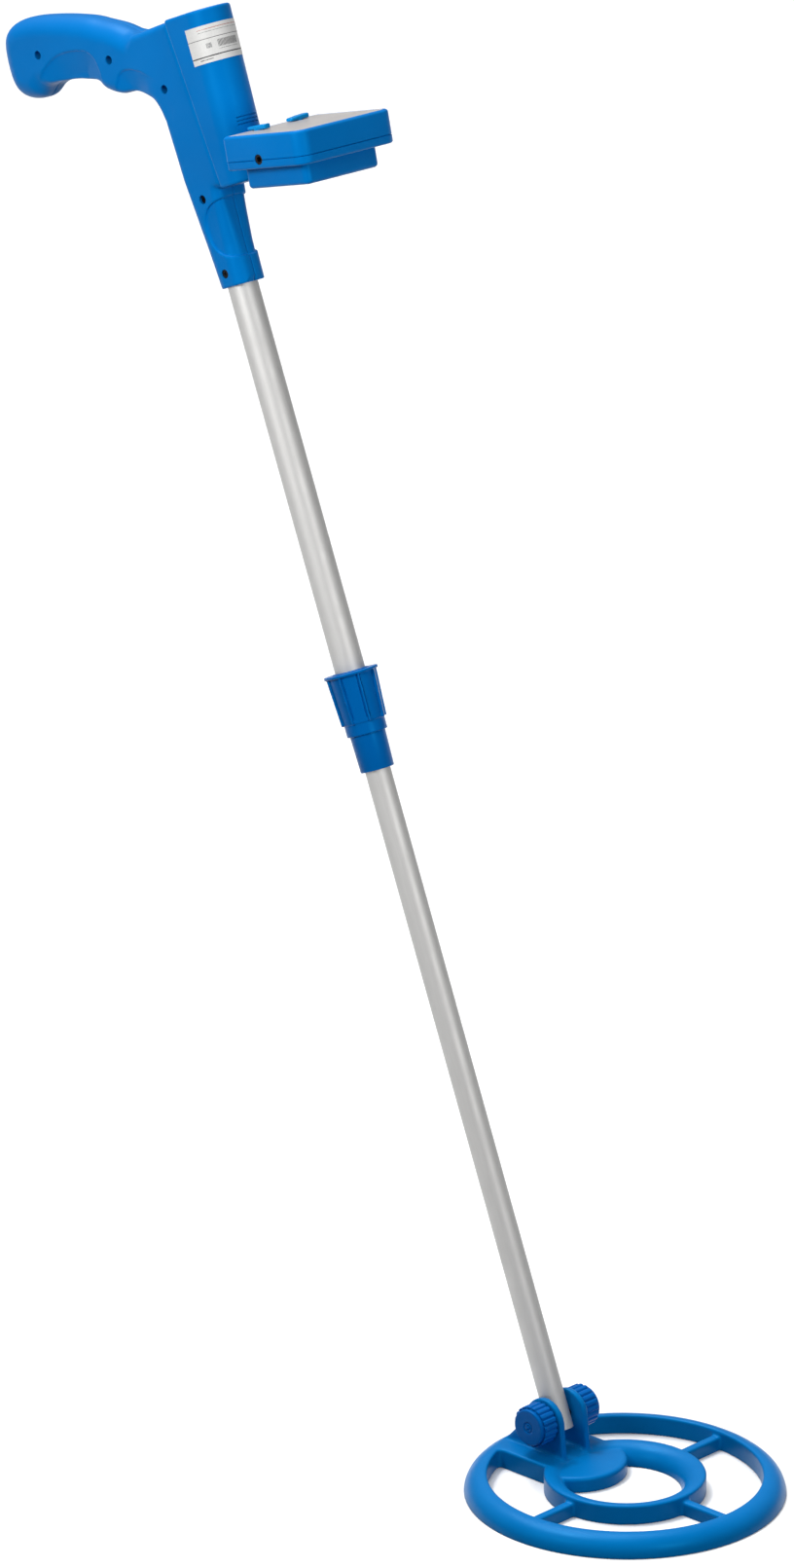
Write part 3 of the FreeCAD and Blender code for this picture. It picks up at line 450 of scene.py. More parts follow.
def coil_field(x, y, z):
    """Two rings, spokes, platform, pad and ears, hollowed below for the cover and the windings."""
    r = np.hypot(x, y)
    outer = np.hypot(r - OUTER_CROWN[0], z - OUTER_CROWN[1]) - OUTER_CROWN[2]
    outer = round_overlap(outer, OUTER_RING_IN - r, RING_EDGE)
    inner = np.hypot(r - INNER_CROWN[0], z - INNER_CROWN[1]) - INNER_CROWN[2]
    inner = round_overlap(inner, r - INNER_RING_OUT, RING_EDGE)
    platform_plan = np.maximum(np.maximum(abs(y) - PLATFORM_HALF, PLATFORM_FROM - r), x)
    plan = round_union(OUTER_RING_IN - r, platform_plan, PLATFORM_FILLET)
    platform = round_overlap(np.maximum(plan, r - PLATFORM_TO), z - COIL_HEIGHT, RING_EDGE)
    disc = np.hypot(x - PAD_CENTRE, y) - PAD_R
    pad = np.maximum(round_overlap(disc, z - PAD_HEIGHT, PAD_EDGE), r - PAD_TO)
    body = np.minimum(np.minimum(outer, round_union(inner, pad, 0.5)), platform)
    footprint = np.maximum(r - COIL_R, OUTER_RING_IN - r)
    footprint = np.minimum(footprint, np.maximum(r - INNER_RING_OUT, INNER_RING_IN - r))
    footprint = np.minimum(footprint, np.maximum(platform_plan, r - REBATE_PLATFORM_TO))
    footprint = np.minimum(footprint, np.maximum(disc, r - REBATE_PAD_TO))
    for along, over in ((x, y), (y, x), (-y, x)):
        ends = np.maximum(along - SPOKE_TO, SPOKE_FROM - along)
        spoke = round_overlap(abs(over) - SPOKE_HALF, z - SPOKE_HEIGHT, SPOKE_EDGE)
        body = round_union(body, np.maximum(spoke, ends), SPOKE_FILLET)
        footprint = np.minimum(footprint, np.maximum(abs(over) - SPOKE_HALF, ends))
    ear_sides = abs(abs(y) - EAR_MIDDLE) - EAR_HALF
    ears = round_overlap(polygon_distance(EAR_OUTLINE, x, z), ear_sides, EAR_EDGE)
    body = round_union(body, ears, EAR_FILLET)
    bolt_hole = np.maximum(np.hypot(x - PIVOT.x, z - PIVOT.z) - BOLT_HOLE_R, abs(y) - BOLT_HOLE_HALF)
    body = np.maximum(body, -bolt_hole)
    body = round_overlap(body, -z, 0.6)
    rebate = np.maximum(footprint + COVER_INSET, z - COVER_REBATE)
    for wide, narrow in CHANNELS:
        channel = np.maximum(np.maximum(r - wide, narrow - r), z - CHANNEL_TOP)
        rebate = np.minimum(rebate, channel)
    return np.maximum(body, -rebate)


def make_coil_shell():
    low = (-COIL_R, -COIL_R, 0)
    high = (COIL_R, COIL_R, PIVOT.z + EAR_R)
    shell = moulded("coil_housing", coil_field, low, high, step=0.9, place=COIL)
    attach(shell, "coil_head")
    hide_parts("coil_shell")
    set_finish(shell, "coil_blue")
    return shell


# ------------------------------------------------------------ handle
HALF_WIDTH = 14.0
NECK_BOTTOM = 720.5
POD_BOTTOM = 779.0
HOUSING_TOP = 885.0
SEAM_TOP = 11.2
SEAM_BOTTOM = 20.5
TUBE_R = 9.5
TUBE_END = 832.5
TUBE_RIB = 803.0
WALL = 2.4
BODY_SCREWS = ((-26.2, -9.0), (37.2, -2.0), (85.4, -12.5))
TUBE_SCREWS = (729.0, 776.0)
COUNTERBORE_R = 2.8
BODY_SCREW_DEPTH = 6.5
SEAM_GROOVE = 0.5
SEAM_GROOVE_HALF = 0.45
HANDLE_LOW, HANDLE_HIGH = (-63, -HALF_WIDTH, -134), (146, 0, 46)
GRIP_OUTLINE = (
    (57.5, 16.9), (53.0, 16.0), (46.0, 17.2), (35.5, 18.8), (22.0, 19.1), (8.0, 19.2), (-18.4, 16.0),
    (-44.5, 10.3), (-59.2, 1.8), (-62.3, -11.0), (-55.5, -31.5), (-45.0, -39.7), (-30.0, -37.8),
    (-20.5, -27.6), (0.0, -20.8), (14.0, -18.4), (24.5, -17.8), (32.0, -21.6), (44.8, -22.4),
    (57.0, -19.0), (71.5, -20.3), (78.5, -25.0), (84.3, -33.0))
PALM_SCOOP = (
    (-26.0, -25.6), (-20.9, -17.4), (-11.9, -8.6), (-0.5, -3.2), (14.3, -0.2), (22.9, -3.1),
    (28.6, -11.4))
FINGER_SCOOP = ((42.0, -24.0), (44.0, -15.0), (46.7, -9.1), (52.8, -5.7), (64.3, -5.1), (78.0, -9.0))
# Edge radii and half width by distance along the stem.
FRONT_EDGE = ((NECK_BOTTOM, 745.0, 765.0, 792.0), (9.2, 9.2, 7.6, 3.8))
REAR_EDGE = ((NECK_BOTTOM, 790.0), (8.4, 4.5))
NECK_HALF = ((NECK_BOTTOM, 745.0, 790.0), (12.0, 12.4, HALF_WIDTH))
GRIP_EDGE = 12.5
UNDER_EDGE_LOSS = 6.0
PALM_HALF = 13.0
FINGER_HALF = 14.4
SCOOP_EDGE = 0.7
WAIST_MIDDLE = 755.5
WAIST_ROUND, WAIST_LONG = 24.5, 18.5
WAIST_POWER = 2.6
WAIST_DEPTH = 1.25
WAIST_SLOPE = 18
BOSS_R = 4.2
PILOT_R = 1.6


def handle_outline():
    """The side view of grip, housing and neck, run a little past the neck's end."""
    end = NECK_BOTTOM - 16
    return smooth_line(GRIP_OUTLINE, 5) + [
        from_stem(-13.0, POD_BOTTOM), from_stem(-10.5, end), from_stem(12.8, end), from_stem(13.2, 745.0),
        from_stem(14.2, POD_BOTTOM), from_stem(SEAM_BOTTOM, POD_BOTTOM), from_stem(SEAM_TOP, HOUSING_TOP)]


OUTLINE = handle_outline()
PALM_OUTLINE = smooth_line(PALM_SCOOP, 5) + [(32.0, -24.0), (30.0, -45.0), (-30.0, -45.0)]
FINGER_OUTLINE = smooth_line(FINGER_SCOOP, 5) + [(92.0, -24.0), (92.0, -50.0), (42.0, -50.0)]


def seam_at(along):
    return SEAM_BOTTOM + (along - POD_BOTTOM) / (HOUSING_TOP - POD_BOTTOM) * (SEAM_TOP - SEAM_BOTTOM)


def handle_skin(x, y, z):
    """The outside of the grip, housing and neck: round at the grip and the neck, boxy between."""
    side = abs(y)
    forward, along = on_stem(x, z)
    front_radius = np.interp(along, *FRONT_EDGE)
    rear_radius = np.interp(along, *REAR_EDGE)
    stem_radius = rear_radius + (front_radius - rear_radius) * smoothstep(-7, 5, forward)
    lift = z + 1.4 - 0.29 * np.minimum(x, 0)
    under_radius = GRIP_EDGE - UNDER_EDGE_LOSS * smoothstep(-32, -16, x)
    grip_radius = under_radius + (GRIP_EDGE - under_radius) * smoothstep(-14, 4, lift)
    radius = grip_radius + (stem_radius - grip_radius) * smoothstep(-33, -21, forward)
    half = np.interp(along, *NECK_HALF)
    body = rounded_corner(polygon_distance(OUTLINE, x, z) + radius, side - half + radius, radius)
    palm = polygon_distance(PALM_OUTLINE, x, z)
    palm_half = PALM_HALF - 0.24 * np.clip(-palm, 0, 14)
    body = round_cut(body, np.maximum(palm, palm_half - side), SCOOP_EDGE)
    finger = polygon_distance(FINGER_OUTLINE, x, z)
    fade = 1 - smoothstep(58, 80, x)
    finger_half = FINGER_HALF - (1.5 + 0.16 * np.clip(-finger, 0, 12)) * fade
    body = round_cut(body, np.maximum(finger, finger_half - side), SCOOP_EDGE)
    turn = np.arctan2(side, forward - 1.0) * 12.4
    waist = (turn / WAIST_ROUND) ** WAIST_POWER + (abs(along - WAIST_MIDDLE) / WAIST_LONG) ** WAIST_POWER
    waist = (waist ** (1 / WAIST_POWER) - 1) * WAIST_SLOPE
    body = round_cut(body, np.maximum(waist, -(body + WAIST_DEPTH)), 0.35)
    return round_overlap(body, NECK_BOTTOM - along, 0.8)


def handle_field(x, y, z):
    """The skin with the cavity, the screw bosses and the seat of the tube."""
    skin = handle_skin(x, y, z)
    forward, along = on_stem(x, z)
    cavity = np.maximum(skin + WALL, POD_BOTTOM + WALL - along)
    for bx, bz in BODY_SCREWS:
        cavity = np.maximum(cavity, BOSS_R - np.hypot(x - bx, z - bz))
    cavity = np.maximum(cavity, 2 - abs(along - TUBE_RIB))
    body = np.maximum(skin, -cavity)
    bore = np.maximum(np.hypot(forward, y) - TUBE_R, along - TUBE_END)
    return np.maximum(body, -bore)


def half_mesh():
    """The right half, cut clean at the mirror plane, with a fine groove along the seam outside."""
    mesh = field_mesh("half", handle_field, HANDLE_LOW, HANDLE_HIGH, step=0.85)
    work = bmesh.new()
    work.from_mesh(mesh)
    for y, clear in ((-SEAM_GROOVE_HALF, False), (0, True)):
        everything = work.verts[:] + work.edges[:] + work.faces[:]
        bmesh.ops.bisect_plane(work, geom=everything, dist=1e-4, plane_co=(0, y, 0), plane_no=(0, 1, 0),
                               clear_outer=clear)
    rim = [v for v in work.verts if abs(v.co.y) < 1e-4]
    spots = np.array([v.co for v in rim])
    x, y, z = spots.T
    value = handle_skin(x, y, z)
    tiny = 0.05
    slope_x = (handle_skin(x + tiny, y, z) - handle_skin(x - tiny, y, z)) / (2 * tiny)
    slope_z = (handle_skin(x, y, z + tiny) - handle_skin(x, y, z - tiny)) / (2 * tiny)
    for vertex, gap, sx, sz in zip(rim, value, slope_x, slope_z):
        if abs(gap) < 0.3:
            vertex.co.x -= SEAM_GROOVE * float(sx)
            vertex.co.z -= SEAM_GROOVE * float(sz)
    edges = [e for e in work.edges if e.is_boundary]
    bmesh.ops.triangle_fill(work, use_beauty=True, edges=edges, normal=(0, 1, 0))
    bmesh.ops.recalc_face_normals(work, faces=work.faces)
    work.to_mesh(mesh)
    work.free()
    return mesh


def screw_places():
    places = [(x, z, BODY_SCREW_DEPTH) for x, z in BODY_SCREWS]
    for along in TUBE_SCREWS:
        x, z = from_stem(0, along)
        places.append((x, z, TUBE_R + 0.4))
    return places


def make_handle():
    mesh = half_mesh()
    other = mesh.copy()
    other.transform(Matrix.Scale(-1, 4, Vector((0, 1, 0))))
    other.flip_normals()
    right = new_piece("handle_shell_right", mesh, GRIP)
    left = new_piece("handle_shell_left", other, GRIP)
    holes = []
    for x, z, depth in screw_places():
        holes.append(rod("counterbore", COUNTERBORE_R, (x, -30, z), (x, -depth, z)))
        holes.append(rod("pilot", PILOT_R, (x, -depth - 1, z), (x, 1, z), 24))
    combine(right, holes, GRIP, angle=50)
    shade(left, 50)
    for piece, node in ((right, "handle_right"), (left, "handle_left")):
        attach(piece, "handle")
        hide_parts(node)
        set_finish(piece, "housing_blue")
    return [right, left]


# ------------------------------------------------------------ pod
POD_TOP = HOUSING_TOP + 1
POD_HALF = 16.0
NOSE_TOP = 32.2
NOSE_BOTTOM = 27.8
POD_EDGE = 1.8
POD_WALL = 2.0
SOUND_SLOTS = (813.0, 815.2, 817.4)
SLOT_HALF = 0.35
SLOT_DEPTH = 1.0
SLOT_REACH = math.radians(32)


def nose_at(along):
    return NOSE_BOTTOM + (along - POD_BOTTOM) / (HOUSING_TOP - POD_BOTTOM) * (NOSE_TOP - NOSE_BOTTOM)


def pod_plan(forward, y, along, inset):
    past = forward - nose_at(along)
    return np.where(past > 0, np.hypot(past, y), abs(y)) - POD_HALF + inset


def pod_field(forward, y, along):
    """The pod's outside and its hollow, in the stem's frame."""
    sides = pod_plan(forward, y, along, 0)
    ends = abs(along - (POD_BOTTOM + POD_TOP) / 2) - (POD_TOP - POD_BOTTOM) / 2
    body = round_overlap(round_overlap(sides, seam_at(along) + 0.03 - forward, POD_EDGE), ends, POD_EDGE)
    hollow = np.maximum(pod_plan(forward, y, along, POD_WALL), ends + POD_WALL)
    hollow = np.maximum(hollow, seam_at(along) - 1 - forward)
    return np.maximum(body, -hollow)


def sound_slot(along, steps=16):
    """A cutter for one fine slot round the pod's nose."""
    rings = []
    for k in range(steps + 1):
        angle = SLOT_REACH * (2 * k / steps - 1)
        ring = []
        for radius, height in ((POD_HALF - SLOT_DEPTH, -SLOT_HALF), (POD_HALF + 2, -SLOT_HALF),
                               (POD_HALF + 2, SLOT_HALF), (POD_HALF - SLOT_DEPTH, SLOT_HALF)):
            place = (nose_at(along) + radius * math.cos(angle), radius * math.sin(angle), along + height)
            ring.append(place)
        rings.append(ring)
    return outward(mesh_of("slot", rings))


def make_pod():
    low = (SEAM_TOP, -POD_HALF, POD_BOTTOM)
    high = (NOSE_TOP + POD_HALF, POD_HALF, POD_TOP)
    pod = moulded("pod_housing", pod_field, low, high, step=0.7, place=STEM)
    combine(pod, [sound_slot(along) for along in SOUND_SLOTS], STEM, angle=50)
    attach(pod, "handle")
    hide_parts("pod_shell")
    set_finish(pod, "housing_blue")
    return pod


# ------------------------------------------------------------ control box
BOX_LENGTH = 67.0
BOX_HALF = 40.6
BOX_CORNER = 9.0
BOX_WALL = 2.2
BOX_SEAM = -15.4
TRAY_BOTTOM = -20.7
BAY_BOTTOM = -33.5
BOX_REAR_CORNER = 3.0
LEAST_CORNER = 0.3
BAY_OUTLINE = (-61.5, -9.0, 31.0, 4.5)
BOX_OUTLINE = (-BOX_LENGTH, 0.0, BOX_HALF, BOX_CORNER)
SEAM_CHAMFER = 0.6
COVER_ROOF = 2.8
DOOR_REAR, DOOR_FRONT = -52.0, -17.0
DOOR_END, DOOR_OUT = -26.15, 32.0
DOOR_GAP = 0.15
DOOR_RAIL = 1.35
TRAY_SCREWS = [(x, y) for x in (-61.0, -6.5) for y in (-35.5, 35.5)]
SHAFT_HOLE_R = 3.6
JACK_HOLE_R = 3.2
SOCKET = (-38.2, -15.0)
PANEL_INSET = 2.8
BRIDGE_HALF = 11.0
BRIDGE_REAR = -92.0
BRIDGE_MIDDLE, BRIDGE_HALF_HEIGHT = -12.9, 7.8


def shaft_holes(reach_down, reach_up):
    """Cutters for the two knobs' spindles."""
    return [rod("shaft_hole", SHAFT_HOLE_R, (-KNOB_BACK, side * KNOB_SPREAD, -reach_down),
                (-KNOB_BACK, side * KNOB_SPREAD, reach_up)) for side in (-1, 1)]


def jack_hole():
    """A cutter through the box's right wall, in front of the headphone socket."""
    x, z = SOCKET
    return rod("jack_hole", JACK_HOLE_R, (x, -BOX_HALF - 3, z), (x, -BOX_HALF + 4, z))


def make_control_cover():
    profile = [(BOX_WALL, -COVER_ROOF), (BOX_WALL, BOX_SEAM), (SEAM_CHAMFER, BOX_SEAM),
               (0.0, BOX_SEAM + SEAM_CHAMFER / 2)]
    profile += rounded_steps(0, 0, 2.0, 1)
    profile += [(PANEL_INSET - 0.15, 0), (PANEL_INSET, -0.15), (PANEL_INSET, -0.5)]
    cover = stacked("control_box_cover", BOX_OUTLINE, profile, BOX, angle=30)
    combine(cover, shaft_holes(6, 4) + [jack_hole()], BOX, angle=30)
    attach(cover, "handle")
    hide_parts("control_cover")
    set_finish(cover, "housing_blue")
    return cover


def bridge_field(x, y, z):
    """The short arm between the tray and the pod, in the box's frame."""
    rows = BOX.to_3x3() * (1 / MM)
    place = BOX.translation / MM
    rx = place.x + rows[0][0] * x + rows[0][2] * z
    rz = place.z + rows[2][0] * x + rows[2][2] * z
    forward, along = on_stem(rx, rz)
    arm = round_overlap(abs(y) - BRIDGE_HALF, abs(z - BRIDGE_MIDDLE) - BRIDGE_HALF_HEIGHT, 1.2)
    arm = round_overlap(arm, x + BOX_LENGTH, 0.1)
    clear = pod_plan(forward, y, along, -0.05)
    return np.maximum(np.maximum(arm, -clear), BRIDGE_REAR - x)


def make_control_tray():
    seam = BOX_SEAM - 0.04
    profile = [(BOX_WALL, TRAY_BOTTOM + BOX_WALL), (BOX_WALL, seam), (SEAM_CHAMFER, seam),
               (0.0, BOX_SEAM - 0.34)]
    profile += rounded_steps(0, TRAY_BOTTOM, 1.5, -1)
    tray = stacked("control_box_tray", BOX_OUTLINE, profile, BOX, angle=30)
    bay_profile = [(0, TRAY_BOTTOM + 1.0)] + rounded_steps(0, BAY_BOTTOM, 2.5, -1, 7)
    rings = [slab_ring(BAY_OUTLINE, inset, z) for inset, z in bay_profile]
    combine(tray, [outward(mesh_of("bay", rings))], BOX, "UNION", 30)
    door_top = BAY_BOTTOM + 2.15
    cuts = [bar("cell", (-49, -27, BAY_BOTTOM + 2), (-20, 24.5, BOX_SEAM + 1)),
            bar("door_way", (DOOR_REAR - DOOR_GAP, DOOR_END, BAY_BOTTOM - 1),
                (DOOR_FRONT + DOOR_GAP, DOOR_OUT, door_top)),
            bar("door_track", (DOOR_REAR - DOOR_RAIL, DOOR_END, BAY_BOTTOM + 0.65),
                (DOOR_FRONT + DOOR_RAIL, DOOR_OUT, door_top)),
            jack_hole()]
    for x, y in TRAY_SCREWS:
        cuts.append(rod("screw_sink", 2.5, (x, y, TRAY_BOTTOM - 1), (x, y, TRAY_BOTTOM + 1.6), 32))
    combine(tray, cuts, BOX, angle=30)
    low, high = (BRIDGE_REAR, -BRIDGE_HALF, TRAY_BOTTOM), (-BOX_LENGTH, BRIDGE_HALF, -5)
    bridge = moulded("control_box_bridge", bridge_field, low, high, step=0.7, place=BOX)
    for piece in (tray, bridge):
        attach(piece, "handle")
        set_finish(piece, "housing_blue")
    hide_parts("control_tray")
    return [tray, bridge]


def make_panel():
    """The foil on the box's top, with a fine pale line near its edge."""
    profile = [(PANEL_INSET + 0.1, -0.5), (PANEL_INSET + 0.1, -0.12), (PANEL_INSET + 0.22, 0.0)]
    panel = stacked("control_face", BOX_OUTLINE, profile, BOX)
    combine(panel, shaft_holes(2, 2), BOX)
    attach(panel, "handle")
    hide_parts("control_panel")
    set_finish(panel, "panel_silver")
    rings = [slab_ring(BOX_OUTLINE, inset, z)
             for inset, z in ((3.9, 0.0), (3.9, 0.03), (4.4, 0.03), (4.4, 0.0), (3.9, 0.0))]
    line = new_piece("control_face_line", outward(mesh_of("line", rings, closed_ends=False)), BOX)
    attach(line, "handle")
    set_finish(line, "panel_silver")
    return panel, line


KNOB_HALF = 8.25
KNOB_HALF_WIDTH = 3.0
KNOB_HEIGHT = 3.4
KNOB_CORNER = 2.4
KNOB_SKIRT_R = 3.1
SPINDLE_R = 2.0
SPINDLE_END = -8.2
KNOB_SIDE = (
    (-KNOB_HALF, 0.4), (-KNOB_HALF, 1.5), (-7.4, 2.3), (0.0, 3.0), (KNOB_HALF, KNOB_HEIGHT),
    (KNOB_HALF, 0.4))


def knob_field(x, y, z):
    side = polygon_distance(KNOB_SIDE, x, z)
    plan = rounded_corner(abs(x) - KNOB_HALF + KNOB_CORNER, abs(y) - KNOB_HALF_WIDTH + KNOB_CORNER,
                          KNOB_CORNER)
    bar_shape = round_overlap(side, plan, 0.9)
    r = np.hypot(x, y)
    skirt = np.maximum(r - KNOB_SKIRT_R, abs(z - 0.2) - 0.5)
    spindle = np.maximum(r - SPINDLE_R, abs(z + 3.7) - 4.5)
    return np.minimum(np.minimum(bar_shape, skirt), spindle)


def make_panel_knobs():
    low, high = (-KNOB_HALF, -KNOB_SKIRT_R, SPINDLE_END), (KNOB_HALF, KNOB_SKIRT_R, KNOB_HEIGHT)
    knobs = []
    for name, side, turn in (("volume_knob", -1, 0), ("tuning_knob", 1, 90)):
        seat = BOX @ Matrix.Translation((-KNOB_BACK, side * KNOB_SPREAD, 0))
        place = seat @ Matrix.Rotation(math.radians(turn), 4, "Z")
        knob = moulded(name + "_cap", knob_field, low, high, step=0.3, place=place, angle=60)
        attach(knob, name)
        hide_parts(name)
        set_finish(knob, "knob_blue")
        knobs.append(knob)
    return knobs


# ------------------------------------------------------------ stem
UPPER_TUBE = (448.0, 832.0)
LOWER_TUBE = (-9.0, 545.0)
LOWER_TUBE_R = 8.0
TUBE_WALL = 1.0
TUBE_BREAK = 0.15


def tube_profile(radius, low, high):
    inner = radius - TUBE_WALL
    edge = TUBE_BREAK
    return [(inner, low + edge), (inner + edge, low), (radius - edge, low), (radius, low + edge),
            (radius, high - edge), (radius - edge, high), (inner + edge, high), (inner, high - edge),
            (inner, low + edge)]


def make_tubes():
    upper = turned("upper_tube_drawn", tube_profile(TUBE_R, *UPPER_TUBE), STEM)
    combine(upper, [rod("hole", PILOT_R, (0, -12, along), (0, 12, along), 24) for along in TUBE_SCREWS], STEM)
    lower = turned("lower_tube_drawn", tube_profile(LOWER_TUBE_R, *LOWER_TUBE), STEM)
    combine(lower, [rod("hole", BOLT_HOLE_R, (0, -12, 0), (0, 12, 0), 32)], STEM)
    for piece, node, body in ((upper, "upper_tube", "handle"), (lower, "lower_tube", "stem")):
        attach(piece, body)
        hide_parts(node)
        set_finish(piece, "tube_aluminium")
    return [upper, lower]


# ------------------------------------------------------------ twist lock
COLLET_BOTTOM = 413.5
NUT_BOTTOM = 436.5
NUT_RIB_END = 444.0
NUT_TOP = 475.5
FLANGE_R = 17.0
FLANGE_THICKNESS = 1.7
CONE_END_R, CONE_TOP_R = 13.2, 14.9
BAND_R = 12.75
COLLET_R = 11.2
COLLET_TIP_R = 10.6
RIB_COUNT = 8
RIB_TURN = math.radians(-28.5)
RIB_HALF = 0.6
RIB_HEIGHT = 1.45
RIB_GROOVE_AT, RIB_GROOVE_HALF, RIB_GROOVE_DEPTH = 0.95, 0.3, 0.45


def nut_field(x, y, z):
    """A flange over a ribbed cone and a plain band, bored for the collet."""
    r = np.hypot(x, y)
    top = NUT_TOP - FLANGE_THICKNESS / 2
    flange = round_overlap(r - FLANGE_R, abs(z - top) - FLANGE_THICKNESS / 2, 0.5)
    share = (z - NUT_RIB_END) / (NUT_TOP - NUT_RIB_END)
    cone_r = CONE_END_R + share * (CONE_TOP_R - CONE_END_R)
    cone = round_overlap(r - cone_r, NUT_RIB_END - z, 0.5)
    pitch = 2 * math.pi / RIB_COUNT
    turn = np.arctan2(y, x) - RIB_TURN
    from_rib = abs((turn + pitch / 2) % pitch - pitch / 2) * r
    ribs = round_overlap(from_rib - RIB_HALF, r - cone_r - RIB_HEIGHT, 0.3)
    ribs = round_overlap(ribs, NUT_RIB_END - z, 0.4)
    groove = np.maximum(abs(from_rib - RIB_GROOVE_AT) - RIB_GROOVE_HALF, NUT_RIB_END + 2.5 - z)
    cone = round_cut(cone, np.maximum(groove, cone_r - RIB_GROOVE_DEPTH - r), 0.1)
    grip = np.maximum(round_union(cone, ribs, 0.15), z - NUT_TOP + 0.5)
    band = round_overlap(r - BAND_R, abs(z - 445) - (445 - NUT_BOTTOM), 0.5)
    body = round_union(round_union(flange, grip, 0.7), band, 0.4)
    return np.maximum(body, COLLET_R + 0.08 - r)


def sleeve_profile():
    """The collet: a tapered tip, a neck under the nut, and a bore that steps from one tube to the other."""
    tube_bore, stem_bore = TUBE_R + 0.02, LOWER_TUBE_R + 0.05
    tip, bottom, top = COLLET_TIP_R, COLLET_BOTTOM, NUT_TOP + 0.6
    return [(stem_bore, bottom + 0.3), (stem_bore + 0.3, bottom), (tip - 0.5, bottom),
            (tip - 0.15, bottom + 0.15), (tip, bottom + 0.5), (COLLET_R - 0.1, NUT_BOTTOM - 1.5),
            (COLLET_R, NUT_BOTTOM), (COLLET_R, NUT_TOP + 0.3), (COLLET_R - 0.3, top), (tube_bore, top),
            (tube_bore, UPPER_TUBE[0]), (stem_bore, UPPER_TUBE[0]), (stem_bore, bottom + 0.3)]


def make_twist_lock():
    low, high = (-FLANGE_R, -FLANGE_R, NUT_BOTTOM), (FLANGE_R, FLANGE_R, NUT_TOP)
    nut = moulded("lock_nut_grip", nut_field, low, high, step=0.42, place=STEM)
    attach(nut, "lock_nut")
    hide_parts("lock_nut")
    sleeve = turned("lock_sleeve", sleeve_profile(), STEM)
    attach(sleeve, "handle")
    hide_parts("collet")
    for piece in (nut, sleeve):
        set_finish(piece, "collar_blue")
    return [nut, sleeve]


# ------------------------------------------------------------ clamp
CLAMP_START = 13.7
CLAMP_DEPTH = 10.6
CLAMP_R = 13.2
CLAMP_FACE_R = 11.6
CLAMP_FACE_RISE = 2.1
CLAMP_FLUTES = 20
FLUTE_DEPTH = 1.05
STEP_WIDTH, STEP_DEPTH = 0.35, 0.7
MARK_R, MARK_GROOVE = 3.1, 0.6
ARC_R, ARC_GROOVE, ARC_HALF_TURN = 1.3, 0.55, 2.2
BOLT_BORE_R = 3.05
BOLT_BORE_DEPTH = 7.3


def clamp_field(x, y, z):
    """A knob about Z, from its back at z = 0 outwards: a fluted rim and a raised smooth face."""
    r = np.hypot(x, y)
    turn = np.arctan2(y, x)
    flute = 0.5 + 0.5 * np.cos(turn * CLAMP_FLUTES)
    rim_r = CLAMP_R - FLUTE_DEPTH * flute ** 4
    rim = round_overlap(r - rim_r, abs(z - CLAMP_DEPTH / 2) - CLAMP_DEPTH / 2, 0.5)
    face = round_overlap(r - CLAMP_FACE_R, abs(z - 6) - (CLAMP_DEPTH + CLAMP_FACE_RISE - 6), 0.9)
    step = np.maximum(abs(r - CLAMP_FACE_R - STEP_WIDTH) - STEP_WIDTH, abs(z - CLAMP_DEPTH) - STEP_DEPTH)
    body = round_cut(np.minimum(rim, face), step, 0.1)
    above = z - CLAMP_DEPTH - CLAMP_FACE_RISE
    mark = np.hypot(r - MARK_R, above) - MARK_GROOVE
    arc = np.maximum(np.hypot(r - ARC_R, above) - ARC_GROOVE, abs(turn) - ARC_HALF_TURN)
    body = round_cut(body, np.minimum(mark, arc), 0.1)
    return np.maximum(body, -np.maximum(r - BOLT_BORE_R, z - BOLT_BORE_DEPTH))


def make_clamp_knobs():
    low, high = (-CLAMP_R, -CLAMP_R, 0), (CLAMP_R, CLAMP_R, 13.2)
    pivot = Matrix.Translation(STEM.translation) @ Matrix.Scale(MM, 4)
    knobs = []
    for name, side in (("right", -1), ("left", 1)):
        turn = Matrix.Rotation(math.radians(-90 * side), 4, "X")
        place = pivot @ turn @ Matrix.Translation((0, 0, CLAMP_START))
        knob = moulded("clamp_grip_" + name, clamp_field, low, high, step=0.4, place=place, angle=60)
        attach(knob, "clamp_" + name)
        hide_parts("clamp_knob_" + name)
        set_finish(knob, "clamp_blue")
        knobs.append(knob)
    return knobs


# ------------------------------------------------------------ materials
def set_range(node, low, high, new_low, new_high):
    for socket, number in zip(("From Min", "From Max", "To Min", "To Max"), (low, high, new_low, new_high)):
        node.inputs[socket].default_value = number


